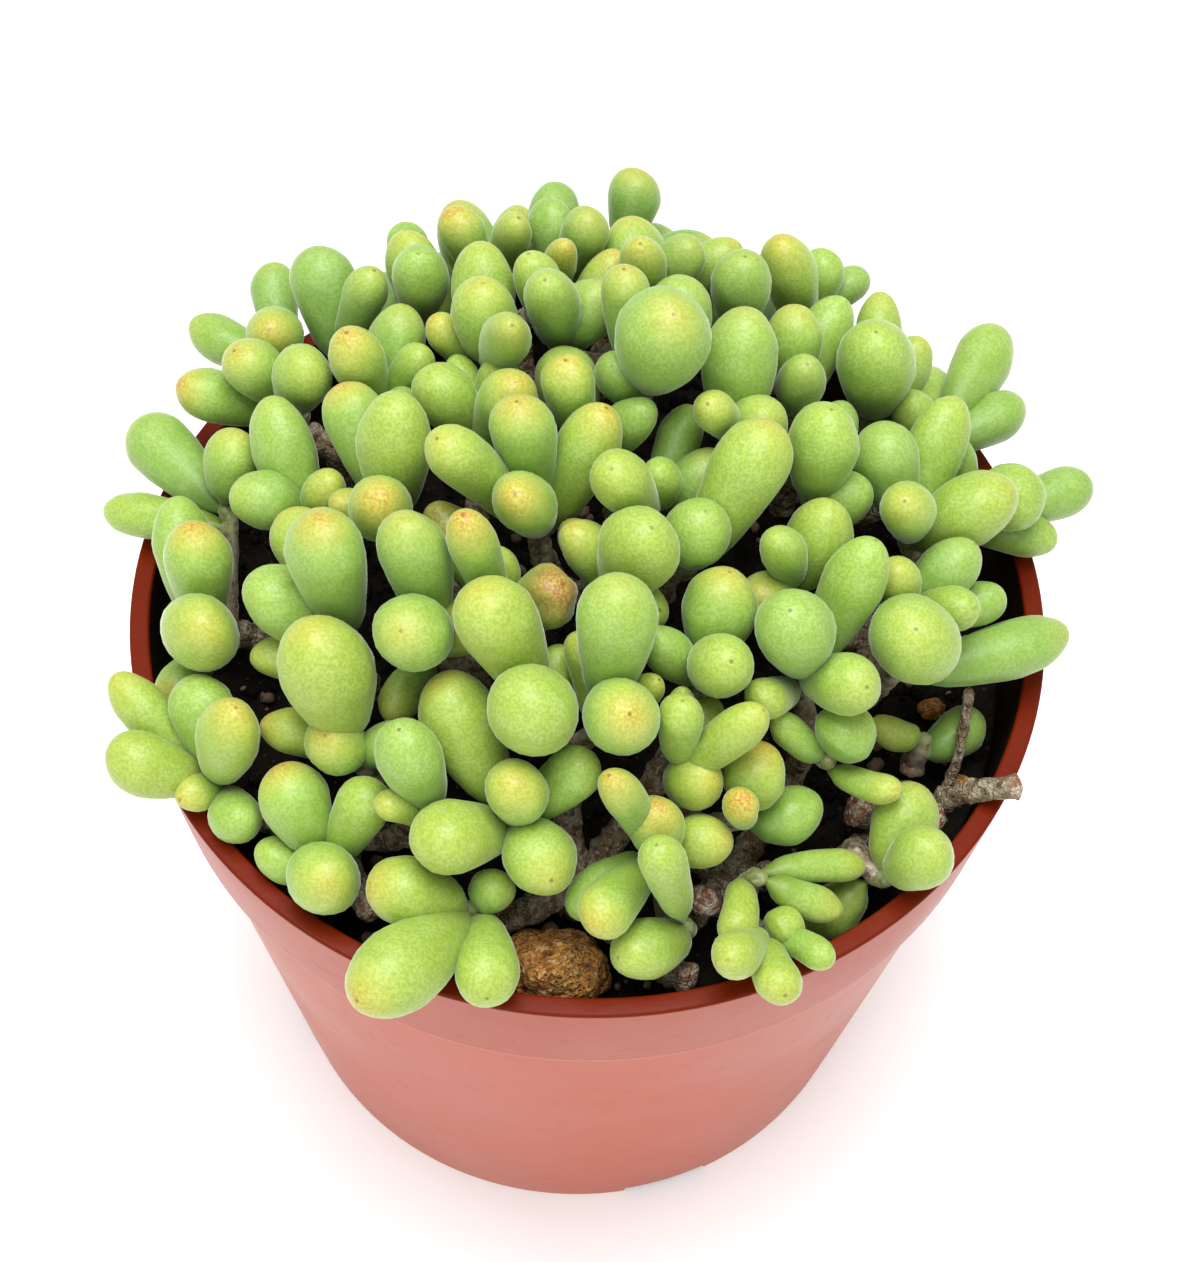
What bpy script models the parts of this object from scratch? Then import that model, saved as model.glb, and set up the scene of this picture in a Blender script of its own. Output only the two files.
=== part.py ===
"""Potted dragon egg succulent: a round nursery pot, overgrown by a clump of club-shaped leaves.

Sizes are in millimetres until MM turns them into metres. The origin is the middle of the pot's
base, +Z is up, and the stone lies on the -Y side. Heights in the planting plan are measured from
the top of the pot's rim.
"""
import itertools
import math
import random

import bmesh
import bpy
import numpy as np
from mathutils import Matrix, Vector, noise

MM = 0.001
GAP = 0.3                    # left between pieces that rest on each other
MERGE_DISTANCES = (0.04, 0.02, 0.01, 0.005, 0.002)    # tried in turn until a union closes

RIM_RADIUS = 70.0
LIP_WIDTH = 3.0
POT_HEIGHT = 110.0
COLLAR_HEIGHT = 21.0
COLLAR_TAPER = 2.6           # the collar narrows by this much towards its lower edge
COLLAR_STEP = 1.5            # the wall starts this far inside the collar
BASE_RADIUS = 52.5
WALL = 1.5
FLOOR = 2.2
EDGE_ROUND = 0.5
POT_SIDES = 48

NOTCHES = 4                  # drain notches where the floor meets the wall
NOTCH_FIRST = -70.0          # degrees
NOTCH_WIDTH = 15.0
NOTCH_DEPTH = 5.0
NOTCH_HEIGHT = 2.0
DRAIN_HOLES = 4
DRAIN_RADIUS = 4.0
DRAIN_RING = 30.0

SOIL_DEPTH = 15.0            # soil surface below the rim
SOIL_RINGS = (15, 30, 45)
SOIL_SIDES = 30
SOIL_ROUGHNESS = 1.0
SOIL_PATCH = 9.0             # size of the soil surface's humps and hollows
HOLE_DEPTH = 14.0            # how far each woody stem stands in the soil

TRUNK_RADIUS = 3.0
HOLE_RADIUS = 4.0
BRANCH_RADIUS = 2.2
WOOD_SIDES = 5
BRANCH_STATIONS = 3
STUB_STATIONS = 3
ROOT_SINK = 0.8              # how far a branch starts inside the wood it grows from
KNOBS = 0.12                 # leaf scars make every other ring of the wood this much thicker

TWIG_RADIUS = 2.0
TWIG_SIDES = 5
TWIG_COLLAR = 2.5            # a shoot's twigs share this length above the seat
BUD_LENGTH = 3.0
SEAT_DROP = 6.0              # a shoot's lower end below its lowest rosette
PAIR_DROP = 1.4              # times as much under two rosettes
SECOND_TWIG = 0.25           # the second twig of a shoot is this much thinner
LOWEST_SEAT = 5.5            # above the soil surface
LOWEST_KNEE = 4.0
BRANCH_BEND = 0.45           # share of a branch's length that stays in line with its shoot
UPWARD = 1.5                 # how strongly each rosette turns up, next to the pull of one leaf
NECK_RADIUS = 1.6
SWELL = 1.4                  # how soon a leaf widens from its neck
SMALL_LEAF = 4.4             # radius under which a leaf has the small form
LEAF_FORMS = {               # sides, rings along the leaf, (reach, width) of its last ring
    "large": (6, (0.0, 0.36, 0.86), (0.50, 0.88)),
    "small": (5, (0.0, 0.50), (0.30, 0.97)),
}
CORNER_REACH = 1.07          # corners stand outside the round leaf, flats inside it
ROOT_SPREAD = 4.0            # leaf roots share this length of the growing tip

MOUND_TOP = 38.0             # the clump's outline above the rim
MOUND_FALL = 34.0
MOUND_RADIUS = 72.0
MOUND_POWER = 2.4
MOUND_RISE = 0.16            # it stands higher towards the back

EYE = (0.0, -226.0, 439.0)   # crowded leaves make way towards and away from this point
LAYERING = 0.4               # how far they do so, rather than sideways
MOST_LAYERING = 2.5
SETTLING_STEPS = 260
STEP_SHARE = 0.7             # of each push is carried out in a step
MOST_END_MOVE = 1.5          # in a step
MOST_TIP_MOVE = 1.0
SETTLING_SAMPLES = 7         # balls that stand for a leaf
FIRST_SAMPLE = 0.2           # share of its length where they begin
KIN_SHARE = 0.8              # leaves of one shoot may touch below this share
NEIGHBOUR_REACH = 14.0       # leaves further apart than this and their half lengths never meet
NEAR_BALLS = 60              # of the wood and the twigs are watched for each leaf
LEAF_CLEARANCE = 0.7
LIP_SWELL = 1.2              # the lip counts as a ring this many times as thick
LIP_LIFT = 0.3               # least share of a push off the lip that goes up
STRETCH = (0.75, 1.3)        # how short and how long a leaf may get next to the plan
ROOT_EASE = 0.7              # how easily a leaf's root moves, next to its end
SIDE_PULL = 0.25             # back to the plan
DEPTH_PULL = 0.02
TIP_PULL = 0.05
TIP_DRIFT = 6.0
SEED = 11

# Planting plan, read from the plant. Each clump has the foot of its woody stem, the height of its
# fork above the soil, bare stubs, and shoots. A shoot holds one or two rosettes. A rosette is
# (x, y, depth below the mound's outline, leaves), and a leaf is (x, y, height over the outline,
# thickness), at the middle of its thick end.
CLUMPS = {
    "back_left": {
        "foot": (-41, 31), "fork": 9, "stubs": (),
        "shoots": (
            ((-50, 41, 13, ((-63, 47, 0, 8.0), (-53, 53, 0, 7.5), (-51, 36, -3, 8.5))),
             (-48, 27, 15, ((-61, 26, 0, 8.5), (-53, 26, 0, 8.7), (-44, 19, 0, 8.6)))),
            ((-41, 36, 16, ((-44, 43, 1, 10), (-36, 39, -2, 6.5))),
             (-29, 39, 14, ((-28, 36, 0, 8.4), (-29, 43, -2, 8.5), (-30, 49, -1, 6.5),
                            (-36, 54, -13, 8.0), (-25, 58, -14, 8.5)))),
            ((-33, 21, 15, ((-36, 20, 0, 8.2), (-29, 24, -1, 8.7), (-27, 17, -2, 5.5),
                            (-29, 11, -3, 4.5))),),
        ),
    },
    "left": {
        "foot": (-44, 2), "fork": 6, "stubs": (),
        "shoots": (
            ((-55, 6, 12, ((-68, 20, 0, 10.0), (-72, 10, -1, 7.2), (-54, 10, -2, 8.0))),
             (-57, -13, 12, ((-58, -6, 0, 9.8), (-55, -19, 1, 10.8), (-60, -23, -3, 7.0),
                             (-61, 0, 0, 8.6)))),
            ((-42, 1, 14, ((-47, 10, 0, 9.2), (-48, -2, 0, 8.7), (-38, -2, -3, 6.0))),),
            ((-34, -20, 13, ((-43, -16, 0, 10.6), (-36, -12, 0, 11.0), (-45, -23, -4, 6.5),
                             (-42, -8, -2, 9.0))),),
        ),
    },
    "front_left": {
        "foot": (-36, -37), "fork": 5, "stubs": (((-33, -46, -9), (-29, -53, -5), 2.1),),
        "shoots": (
            ((-52, -36, 7, ((-58, -27, 0, 9.3), (-50, -33, 2, 8.8), (-68, -28, 5, 7.2),
                             (-63, -37, 8, 9.2), (-55, -42, 4, 5.0), (-50, -46, 1, 7.4))),),
            ((-33, -34, 13, ((-37, -38, -2, 8.6), (-35, -30, 1, 13.0), (-43, -33, -4, 6.8),
                             (-26, -36, -4, 6.0))),
             (-20, -45, 10, ((-25, -40, 0, 9.2), (-28, -43, -4, 4.5)))),
            ((-36, -49, 7, ((-35, -53, 2, 10.0), (-45, -52, 4, 6.5), (-40, -44, 1, 9.5),
                            (-30, -44, -3, 7.5))),),
        ),
    },
    "crown_left": {
        "foot": (-21, -3), "fork": 10, "stubs": (),
        "shoots": (
            ((-29, -1, 16, ((-36, 9, 0, 9.0), (-27, 3, 1, 10.5), (-31, -5, 0, 9.0),
                            (-35, -6, -1, 6.0))),),
            ((-18, 11, 15, ((-23, 9, 0, 9.0), (-21, 14, -2, 5.5), (-16, 12, -1, 6.0),
                            (-12, 10, 0, 8.3))),
             (-17, 25, 15, ((-17, 25, 0, 9.3), (-14, 19, 1, 7.0), (-19, 33, 0, 9.3),
                            (-23, 22, -1, 5.2)))),
            ((-22, -21, 14, ((-28, -25, 1, 10.5), (-27, -14, 0, 9.6), (-19, -27, 0, 7.5),
                             (-26, -32, -5, 6.0))),
             (-12, -19, 13, ((-19, -14, 2, 6.8), (-13, -16, -2, 5.0), (-6, -21, -1, 8.0),
                             (-22, -8, -5, 7.0)))),
        ),
    },
    "back": {
        "foot": (-9, 40), "fork": 10, "stubs": (),
        "shoots": (
            ((-19, 48, 16, ((-22, 54, -3, 9.0), (-23, 48, 0, 7.3), (-15, 55, -5, 7.0),
                            (-14, 46, 0, 5.8))),
             (-7, 46, 15, ((-8, 56, -1, 8.0), (-8, 48, 0, 7.0), (-3, 45, -1, 7.0),
                           (-5, 38, 0, 5.0)))),
            ((-6, 29, 16, ((-10, 33, 0, 7.0), (-7, 25, 2, 8.0), (-2, 29, -3, 8.5),
                           (0, 37, -2, 7.0))),
             (7, 40, 15, ((4, 43, -2, 9.5), (6, 37, 0, 7.0), (12, 39, 0, 7.0),
                          (18, 43, -2, 7.0)))),
            ((3, 56, 14, ((4, 63, 0, 8.2), (-5, 63, -12, 8.0), (9, 64, -13, 8.4),
                          (15, 58, -11, 8.0), (-14, 61, -14, 8.0))),),
        ),
    },
    "crown": {
        "foot": (5, 6), "fork": 12, "stubs": (),
        "shoots": (
            ((7, 22, 16, ((5, 30, -1, 7.0), (10, 28, -1, 10.0), (9, 19, 4, 13.0),
                          (2, 15, -4, 7.0))),
             (-1, 10, 15, ((-4, 15, -3, 9.0), (-4, 9, 0, 7.5), (5, 6, 0, 6.6)))),
            ((-7, -5, 14, ((-11, 3, 0, 9.0), (-1, 4, 0, 8.8), (-18, -2, 2, 8.2),
                           (-11, -8, 1, 8.6))),),
            ((9, 0, 15, ((13, 6, -2, 6.3), (9, -4, -1, 6.0), (16, 0, -3, 7.5),
                         (3, -5, 1, 8.2))),
             (14, -10, 13, ((22, 0, 1, 10.5), (16, -12, 0, 9.2), (9, -9, -3, 4.3)))),
            ((3, -14, 14, ((6, -14, 1, 10.7), (-3, -12, -3, 6.0), (-2, -15, -1, 7.3),
                           (8, -21, -4, 7.0))),),
        ),
    },
    "back_right": {
        "foot": (31, 31), "fork": 9, "stubs": (),
        "shoots": (
            ((21, 35, 15, ((21, 37, 0, 8.8), (24, 50, -9, 8.0), (17, 50, -9, 8.0))),
             (20, 14, 15, ((21, 20, 1, 10.8), (17, 9, -2, 6.0), (23, 8, -2, 8.5)))),
            ((30, 23, 15, ((29, 27, -1, 8.0), (30, 18, 0, 7.2), (35, 34, -2, 8.0))),
             (32, 43, 14, ((28, 46, 0, 8.4), (34, 48, -1, 7.0), (39, 48, -1, 6.0),
                           (36, 57, -12, 8.0), (27, 60, -13, 7.5)))),
            ((42, 26, 17, ((41, 26, 1, 11.5), (43, 41, -1, 7.0), (48, 34, -2, 7.0))),
             (53, 25, 13, ((62, 44, 5, 9.0), (64, 34, -1, 8.0), (48, 23, -4, 7.0),
                           (53, 41, -11, 8.0)))),
        ),
    },
    "right": {
        "foot": (44, 0), "fork": 7, "stubs": (),
        "shoots": (
            ((58, 13, 12, ((64, 14, -1, 10.0), (74, 21, 4, 8.0), (68, 11, -3, 7.0),
                           (55, 18, -3, 5.0))),
             (47, 4, 13, ((52, 18, 1, 8.6), (41, 7, 0, 9.5), (45, 0, 0, 7.8),
                          (58, 7, 1, 11.0)))),
            ((32, 4, 15, ((32, 7, 0, 9.8), (36, 13, -3, 7.0), (35, -1, -3, 8.0))),
             (29, -10, 14, ((34, -7, 0, 9.4), (27, -9, -3, 6.5), (25, -16, -6, 8.0)))),
            ((46, -9, 12, ((44, -11, 0, 6.8), (53, -12, 1, 6.5), (58, -8, 0, 6.4),
                           (54, -5, -1, 8.0))),
             (46, -19, 11, ((45, -20, 1, 12.5), (67, -11, 2, 8.8)))),
        ),
    },
    "front": {
        "foot": (0, -45), "fork": 6, "stubs": (((10, -57, -10), (17.5, -60.5, -7), 2.3),),
        "shoots": (
            ((16, -24, 13, ((18, -21, 1, 10.2), (12, -27, 0, 6.8), (19, -28, 1, 8.6))),),
            ((2, -33, 12, ((4, -24, 2, 10.8), (5, -36, 2, 10.2), (9, -32, -1, 4.3),
                           (-1, -27, -3, 5.0))),
             (-6, -33, 13, ((-12, -26, 1, 11.0), (-4, -28, -5, 5.5), (-7, -37, 2, 12.0)))),
            ((-9, -45, 10, ((-18, -36, 0, 10.6), (-9, -45, 2, 8.5), (-1, -41, -3, 7.0),
                            (-19, -50, 0, 10.0), (-6, -53, 0, 10.0))),),
            ((-14, -55, 8, ((-25, -55, 1, 9.8), (-26, -67, 10, 11.5), (-12, -67, 7, 8.6),
                             (-12, -56, -1, 6.2))),),
        ),
    },
    "front_right": {
        "foot": (22, -43), "fork": 6,
        "stubs": (((20, -46, -6), (18, -51, -1), 2.3), ((26, -43, -7), (29, -46, -1), 2.2)),
        "shoots": (
            ((31, -22, 13, ((28, -23, 1, 10.8), (38, -11, 1, 8.3), (25, -32, 0, 5.8),
                            (38, -27, 1, 8.5))),
             (35, -33, 10, ((35, -35, -1, 8.5), (44, -36, -5, 4.5), (28, -34, -2, 4.8)))),
            ((23, -43, 9, ((24, -41, 0, 8.5), (29, -44, 0, 8.5), (22, -45, 1, 4.8))),
             (13, -39, 9, ((23, -35, 0, 6.2), (17, -34, -3, 6.0), (14, -33, -2, 4.3),
                           (12, -35, 0, 6.0), (15, -44, 0, 7.8)))),
            ((11, -48, 9, ((11, -47, 0, 7.8), (5, -44, 0, 5.8), (18, -49, 0, 7.4),
                           (2, -56, -2, 7.5), (4, -58, 0, 7.5))),
             (16, -56, 8, ((11, -52, 3, 6.3), (9, -62, 1, 8.4)))),
            ((24, -50, 7, ((38, -50, 0, 4.8), (34, -53, 0, 5.4), (24, -59, 1, 5.4))),
             (27, -56, 5, ((22, -65, 7, 6.6), (28, -65, 9, 6.4), (33, -64, 8, 4.5),
                           (28, -57, 1, 6.4)))),
        ),
    },
    "side_right": {
        "foot": (49, -31), "fork": 5,
        "stubs": (((54, -31, 1), (64, -33, 5), 1.7), ((57, -29, -9), (57, -16, 5), 0.8),
                  ((46, -32, -8), (40, -33, -3), 2.6), ((51, -32, -7), (52, -35, -2), 2.2)),
        "shoots": (
            ((42, -41, 9, ((48, -38, -3, 9.4), (50, -45, 3, 8.5), (39, -50, -13, 8.0))),),
            ((50, -23, 21, ((60, -18, -16, 7.2), (45, -21, -20, 5.0))),),
        ),
    },
}

STONE_LUMPS = 0.22           # share of its size that a stone's surface goes in and out
STONE_REST = 0.36            # share of its height from the middle down to its flat underside
PEBBLE_LIFT = 0.6            # pebbles lie this share of the soil's roughness higher
BIG_STONE = 8.0
STONE_SIZE = (16.0, 11.0, 10.0)
STONE_PLACE = (-2.4, -57.0)
PEBBLES = ((-49, -6, 4.2), (-46, -27, 4.0), (54, -9, 4.4), (58, -22, 3.4), (31, -52, 3.4))

COLOURS = {
    "pot": ((0.55, 0.17, 0.11), 0.45),
    "soil": ((0.020, 0.014, 0.011), 0.95),
    "stone": ((0.33, 0.16, 0.07), 0.95),
    "wood": ((0.23, 0.17, 0.11), 0.90),
    "leaf": ((0.36, 0.50, 0.14), 0.45),
}


def clear_scene():
    for thing in list(bpy.data.objects):
        bpy.data.objects.remove(thing, do_unlink=True)


def material(kind):
    """One Principled material for each kind of surface."""
    found = bpy.data.materials.get(kind)
    if found:
        return found
    colour, roughness = COLOURS[kind]
    made = bpy.data.materials.new(kind)
    made.use_nodes = True
    shader = made.node_tree.nodes["Principled BSDF"]
    shader.inputs["Base Color"].default_value = (*colour, 1.0)
    shader.inputs["Roughness"].default_value = roughness
    shader.inputs["Metallic"].default_value = 0.0
    return made


def object_from(bm, name):
    """Turn a bmesh in millimetres into an object in metres, and free the bmesh."""
    bmesh.ops.scale(bm, vec=(MM, MM, MM), verts=bm.verts)
    bmesh.ops.recalc_face_normals(bm, faces=bm.faces)
    mesh = bpy.data.meshes.new(name)
    bm.to_mesh(mesh)
    bm.free()
    made = bpy.data.objects.new(name, mesh)
    bpy.context.scene.collection.objects.link(made)
    return made


def finish(piece, kind, sharp_angle=35.0):
    piece.data.materials.clear()
    piece.data.materials.append(material(kind))
    piece.data.shade_smooth()
    piece.data.set_sharp_from_angle(angle=math.radians(sharp_angle))
    return piece


def is_closed(mesh):
    bm = bmesh.new()
    bm.from_mesh(mesh)
    closed = len(bm.faces) > 0 and all(edge.is_manifold for edge in bm.edges)
    bm.free()
    return closed


def keep_outer_body(mesh, distance):
    """Merge corners that a Boolean left side by side, and drop scraps and sealed hollows."""
    bm = bmesh.new()
    bm.from_mesh(mesh)
    bmesh.ops.dissolve_degenerate(bm, dist=distance * MM, edges=bm.edges)
    bmesh.ops.triangulate(bm, faces=bm.faces)
    left = set(bm.faces)
    bodies = []
    while left:
        body, frontier = set(), [left.pop()]
        while frontier:
            face = frontier.pop()
            body.add(face)
            for edge in face.edges:
                for other in edge.link_faces:
                    if other in left:
                        left.remove(other)
                        frontier.append(other)
        bodies.append(body)
    bodies.sort(key=len)
    scraps = [face for body in bodies[:-1] for face in body]
    bmesh.ops.delete(bm, geom=scraps, context="FACES")
    bm.to_mesh(mesh)
    bm.free()


def combine(piece, others, operation):
    """Join the others to a piece, or cut them from it, and delete them."""
    group = bpy.data.collections.new(piece.name + "_parts")
    bpy.context.scene.collection.children.link(group)
    for other in others:
        group.objects.link(other)
    cut = piece.modifiers.new("combine", "BOOLEAN")
    cut.operation = operation
    cut.operand_type = "COLLECTION"
    cut.collection = group
    for solver, distance in itertools.product(("EXACT", "MANIFOLD"), MERGE_DISTANCES):
        cut.solver = solver
        bpy.context.view_layer.update()
        seen = piece.evaluated_get(bpy.context.evaluated_depsgraph_get())
        result = bpy.data.meshes.new_from_object(seen)
        keep_outer_body(result, distance)
        if is_closed(result):
            break
    piece.modifiers.remove(cut)
    piece.data = result
    for other in others:
        bpy.data.objects.remove(other, do_unlink=True)
    bpy.data.collections.remove(group)
    return piece


def turn(profile, sides):
    """Spin an open (radius, height) profile, which starts and ends on the axis, into a solid."""
    bm = bmesh.new()
    corners = [bm.verts.new((radius, 0.0, height)) for radius, height in profile]
    edges = [bm.edges.new(pair) for pair in zip(corners, corners[1:])]
    bmesh.ops.spin(bm, geom=corners + edges, cent=(0, 0, 0), axis=(0, 0, 1),
                   angle=math.tau, steps=sides, use_merge=True, use_duplicate=False)
    bmesh.ops.remove_doubles(bm, verts=bm.verts, dist=0.0001)
    return bm


def loft(stations, sides, turned=0.0):
    """Skin a chain of (centre, radius) stations. A last radius of 0 closes to a point."""
    bm = bmesh.new()
    centres = [Vector(centre) for centre, _ in stations]
    heading = (centres[1] - centres[0]).normalized()
    across = heading.orthogonal().normalized()
    across.rotate(Matrix.Rotation(turned, 3, heading))
    rings = []
    for index, (_, radius) in enumerate(stations):
        before = centres[max(index - 1, 0)]
        after = centres[min(index + 1, len(centres) - 1)]
        new_heading = (after - before).normalized()
        across.rotate(heading.rotation_difference(new_heading))
        heading = new_heading
        if radius == 0:
            rings.append([bm.verts.new(centres[index])])
            continue
        ring = []
        for corner in range(sides):
            spoke = across.copy()
            spoke.rotate(Matrix.Rotation(math.tau * corner / sides, 3, heading))
            ring.append(bm.verts.new(centres[index] + spoke * radius))
        rings.append(ring)
    bm.faces.new(list(reversed(rings[0])))
    for lower, upper in zip(rings, rings[1:]):
        for corner in range(sides):
            following = (corner + 1) % sides
            if len(upper) == 1:
                bm.faces.new((lower[corner], lower[following], upper[0]))
            else:
                bm.faces.new((lower[corner], lower[following], upper[following], upper[corner]))
    if len(rings[-1]) > 1:
        bm.faces.new(rings[-1])
    return bm


def upright_rod(x, y, bottom, top, radius, sides=8):
    return loft((((x, y, bottom), radius), ((x, y, top), radius)), sides)


# Pot and soil

COLLAR_FOOT = RIM_RADIUS - COLLAR_TAPER
WALL_TOP_RADIUS = COLLAR_FOOT - COLLAR_STEP
STEP_HEIGHT = POT_HEIGHT - COLLAR_HEIGHT
SOIL_TOP = POT_HEIGHT - SOIL_DEPTH


def inner_radius(height):
    """Radius of the pot's inside at a height above its base."""
    if height < STEP_HEIGHT:
        share = height / STEP_HEIGHT
        return BASE_RADIUS + share * (WALL_TOP_RADIUS - BASE_RADIUS) - WALL
    share = (height - STEP_HEIGHT) / COLLAR_HEIGHT
    foot = WALL_TOP_RADIUS - WALL
    return foot + share * (RIM_RADIUS - LIP_WIDTH - foot)


def make_pot():
    outline = (
        (0, FLOOR),
        (inner_radius(FLOOR), FLOOR),
        (inner_radius(STEP_HEIGHT), STEP_HEIGHT),
        (RIM_RADIUS - LIP_WIDTH, POT_HEIGHT - EDGE_ROUND),
        (RIM_RADIUS - LIP_WIDTH + EDGE_ROUND, POT_HEIGHT),
        (RIM_RADIUS - EDGE_ROUND, POT_HEIGHT),
        (RIM_RADIUS, POT_HEIGHT - EDGE_ROUND),
        (COLLAR_FOOT, STEP_HEIGHT + EDGE_ROUND),
        (COLLAR_FOOT - EDGE_ROUND, STEP_HEIGHT),
        (WALL_TOP_RADIUS, STEP_HEIGHT),
        (BASE_RADIUS, EDGE_ROUND),
        (BASE_RADIUS - EDGE_ROUND, 0),
        (0, 0),
    )
    pot = object_from(turn(outline, POT_SIDES), "pot")
    cutters = []
    for index in range(NOTCHES):
        angle = math.radians(NOTCH_FIRST) + math.tau * index / NOTCHES
        bm = bmesh.new()
        bmesh.ops.create_cube(bm, size=1.0)
        bmesh.ops.scale(bm, vec=(2 * NOTCH_DEPTH, NOTCH_WIDTH, 2 * NOTCH_HEIGHT), verts=bm.verts)
        bmesh.ops.translate(bm, vec=(BASE_RADIUS, 0, 0), verts=bm.verts)
        bmesh.ops.rotate(bm, matrix=Matrix.Rotation(angle, 3, "Z"), verts=bm.verts)
        cutters.append(object_from(bm, "notch"))
    for index in range(DRAIN_HOLES):
        angle = math.tau * (index + 0.5) / DRAIN_HOLES
        x, y = DRAIN_RING * math.cos(angle), DRAIN_RING * math.sin(angle)
        hole = upright_rod(x, y, -FLOOR, 2 * FLOOR, DRAIN_RADIUS, sides=12)
        cutters.append(object_from(hole, "drain"))
    combine(pot, cutters, "DIFFERENCE")
    return finish(pot, "pot")


def soil_lift(x, y):
    """Unevenness of the soil surface, which is flat under the stone and at the wall."""
    from_stone = math.hypot(x - STONE_PLACE[0], y - STONE_PLACE[1])
    near_stone = min(1.0, max(0.0, (from_stone - STONE_SIZE[0]) / STONE_SIZE[0]))
    return SOIL_ROUGHNESS * near_stone * noise.noise(Vector((x, y, 0)) / SOIL_PATCH)


def make_soil(feet):
    edge = inner_radius(SOIL_TOP) - GAP
    step = inner_radius(STEP_HEIGHT) - GAP
    bottom = FLOOR + GAP
    outline = [(0, SOIL_TOP)]
    outline += [(radius, SOIL_TOP) for radius in SOIL_RINGS]
    outline += [(edge, SOIL_TOP), (step, STEP_HEIGHT), (inner_radius(bottom) - GAP, bottom),
                (0, bottom)]
    bm = turn(outline, SOIL_SIDES)
    for corner in bm.verts:
        x, y, z = corner.co
        if z > SOIL_TOP - GAP and math.hypot(x, y) < edge - 1:
            corner.co.z += soil_lift(x, y)
    soil = object_from(bm, "soil")
    bottoms = SOIL_TOP - HOLE_DEPTH - GAP
    holes = [object_from(upright_rod(x, y, bottoms, POT_HEIGHT, HOLE_RADIUS), "hole")
             for x, y in feet]
    combine(soil, holes, "DIFFERENCE")
    return finish(soil, "soil")


def make_stone(name, size, x, y, seed):
    """A rounded, lumpy stone with a small flat underside, resting on the soil."""
    bm = bmesh.new()
    bmesh.ops.create_icosphere(bm, subdivisions=2 if size[0] > BIG_STONE else 1, radius=0.5)
    for corner in bm.verts:
        corner.co *= 1 + STONE_LUMPS * noise.noise(corner.co * 3 + Vector((seed, 0, 0)))
    bmesh.ops.scale(bm, vec=size, verts=bm.verts)
    rest = -STONE_REST * size[2]
    cut = bmesh.ops.bisect_plane(bm, geom=bm.verts[:] + bm.edges[:] + bm.faces[:],
                                 plane_co=(0, 0, rest), plane_no=(0, 0, -1), clear_outer=True)
    rim = [part for part in cut["geom_cut"] if isinstance(part, bmesh.types.BMEdge)]
    bmesh.ops.contextual_create(bm, geom=rim)
    ground = SOIL_TOP + (0 if size[0] > BIG_STONE else PEBBLE_LIFT * SOIL_ROUGHNESS)
    bmesh.ops.translate(bm, vec=(x, y, ground + GAP - rest), verts=bm.verts)
    return finish(object_from(bm, name), "stone", sharp_angle=60.0)


# Plan of the plant

def mound(x, y):
    """Height of the clump's outline above the pot's base."""
    across = math.hypot(x, y) / MOUND_RADIUS
    return POT_HEIGHT + MOUND_TOP - MOUND_FALL * across ** MOUND_POWER + MOUND_RISE * y


def swell(share):
    """How far a leaf has widened from its neck (0) to its thick end (1)."""
    return 1 - (1 - share) ** SWELL


def plan_rosette(row, shoot, draw):
    """Place a rosette's growing tip and the roots of its leaves."""
    x, y, depth, rows = row
    tip = Vector((x, y, mound(x, y) - depth))
    leaves = []
    for leaf_x, leaf_y, height, thickness in rows:
        end = Vector((leaf_x, leaf_y, mound(leaf_x, leaf_y) + height))
        leaves.append({"end": end, "radius": thickness / 2, "shoot": shoot,
                       "turned": draw.uniform(0, math.tau)})
    axis = sum(((leaf["end"] - tip).normalized() for leaf in leaves), Vector((0, 0, UPWARD)))
    axis.normalize()
    leaves.sort(key=lambda leaf: (leaf["end"] - tip).normalized().dot(axis))
    for place, leaf in enumerate(leaves):
        share = place / max(1, len(leaves) - 1) - 0.5
        leaf["root"] = tip + axis * (share * ROOT_SPREAD)
    return {"tip": tip, "axis": axis, "leaves": leaves}


def plan_shoot(rows, shoot, fork, draw):
    """A green shoot: its rosettes, its seat on the wood and the branch that carries it."""
    rosettes = [plan_rosette(row, shoot, draw) for row in rows]
    middle = sum((rosette["tip"] for rosette in rosettes), Vector()) / len(rosettes)
    axis = sum((rosette["axis"] for rosette in rosettes), Vector((0, 0, 1))).normalized()
    lowest = min(rosette["tip"].z for rosette in rosettes)
    drop = SEAT_DROP if len(rosettes) == 1 else PAIR_DROP * SEAT_DROP
    seat = Vector((middle.x, middle.y, lowest)) - axis * drop
    seat.z = max(seat.z, SOIL_TOP + LOWEST_SEAT)
    knee = seat - axis * BRANCH_BEND * (seat - fork).length
    knee.z = max(knee.z, SOIL_TOP + LOWEST_KNEE)
    branch = bent_path(fork, knee, seat, BRANCH_STATIONS)
    return {"rosettes": rosettes, "seat": seat, "branch": branch,
            "heading": (branch[-1] - branch[-2]).normalized()}


def bent_path(start, knee, end, count):
    """Points along one smooth bend from start to end."""
    points = []
    for index in range(count + 1):
        share = index / count
        points.append(start * (1 - share) ** 2 + knee * 2 * share * (1 - share)
                      + end * share ** 2)
    return points


def plan_clumps():
    draw = random.Random(SEED)
    clumps = []
    shoot = 0
    for name, plan in CLUMPS.items():
        x, y = plan["foot"]
        fork = Vector((x, y, SOIL_TOP + plan["fork"]))
        shoots = []
        for rows in plan["shoots"]:
            shoots.append(plan_shoot(rows, shoot, fork, draw))
            shoot += 1
        rim = Vector((0, 0, POT_HEIGHT))
        stubs = [(bent_path(fork, rim + Vector(knee), rim + Vector(end), STUB_STATIONS), radius)
                 for knee, end, radius in plan["stubs"]]
        clumps.append({"name": name, "foot": (x, y), "fork": fork, "shoots": shoots,
                       "stubs": stubs})
    return clumps


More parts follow.
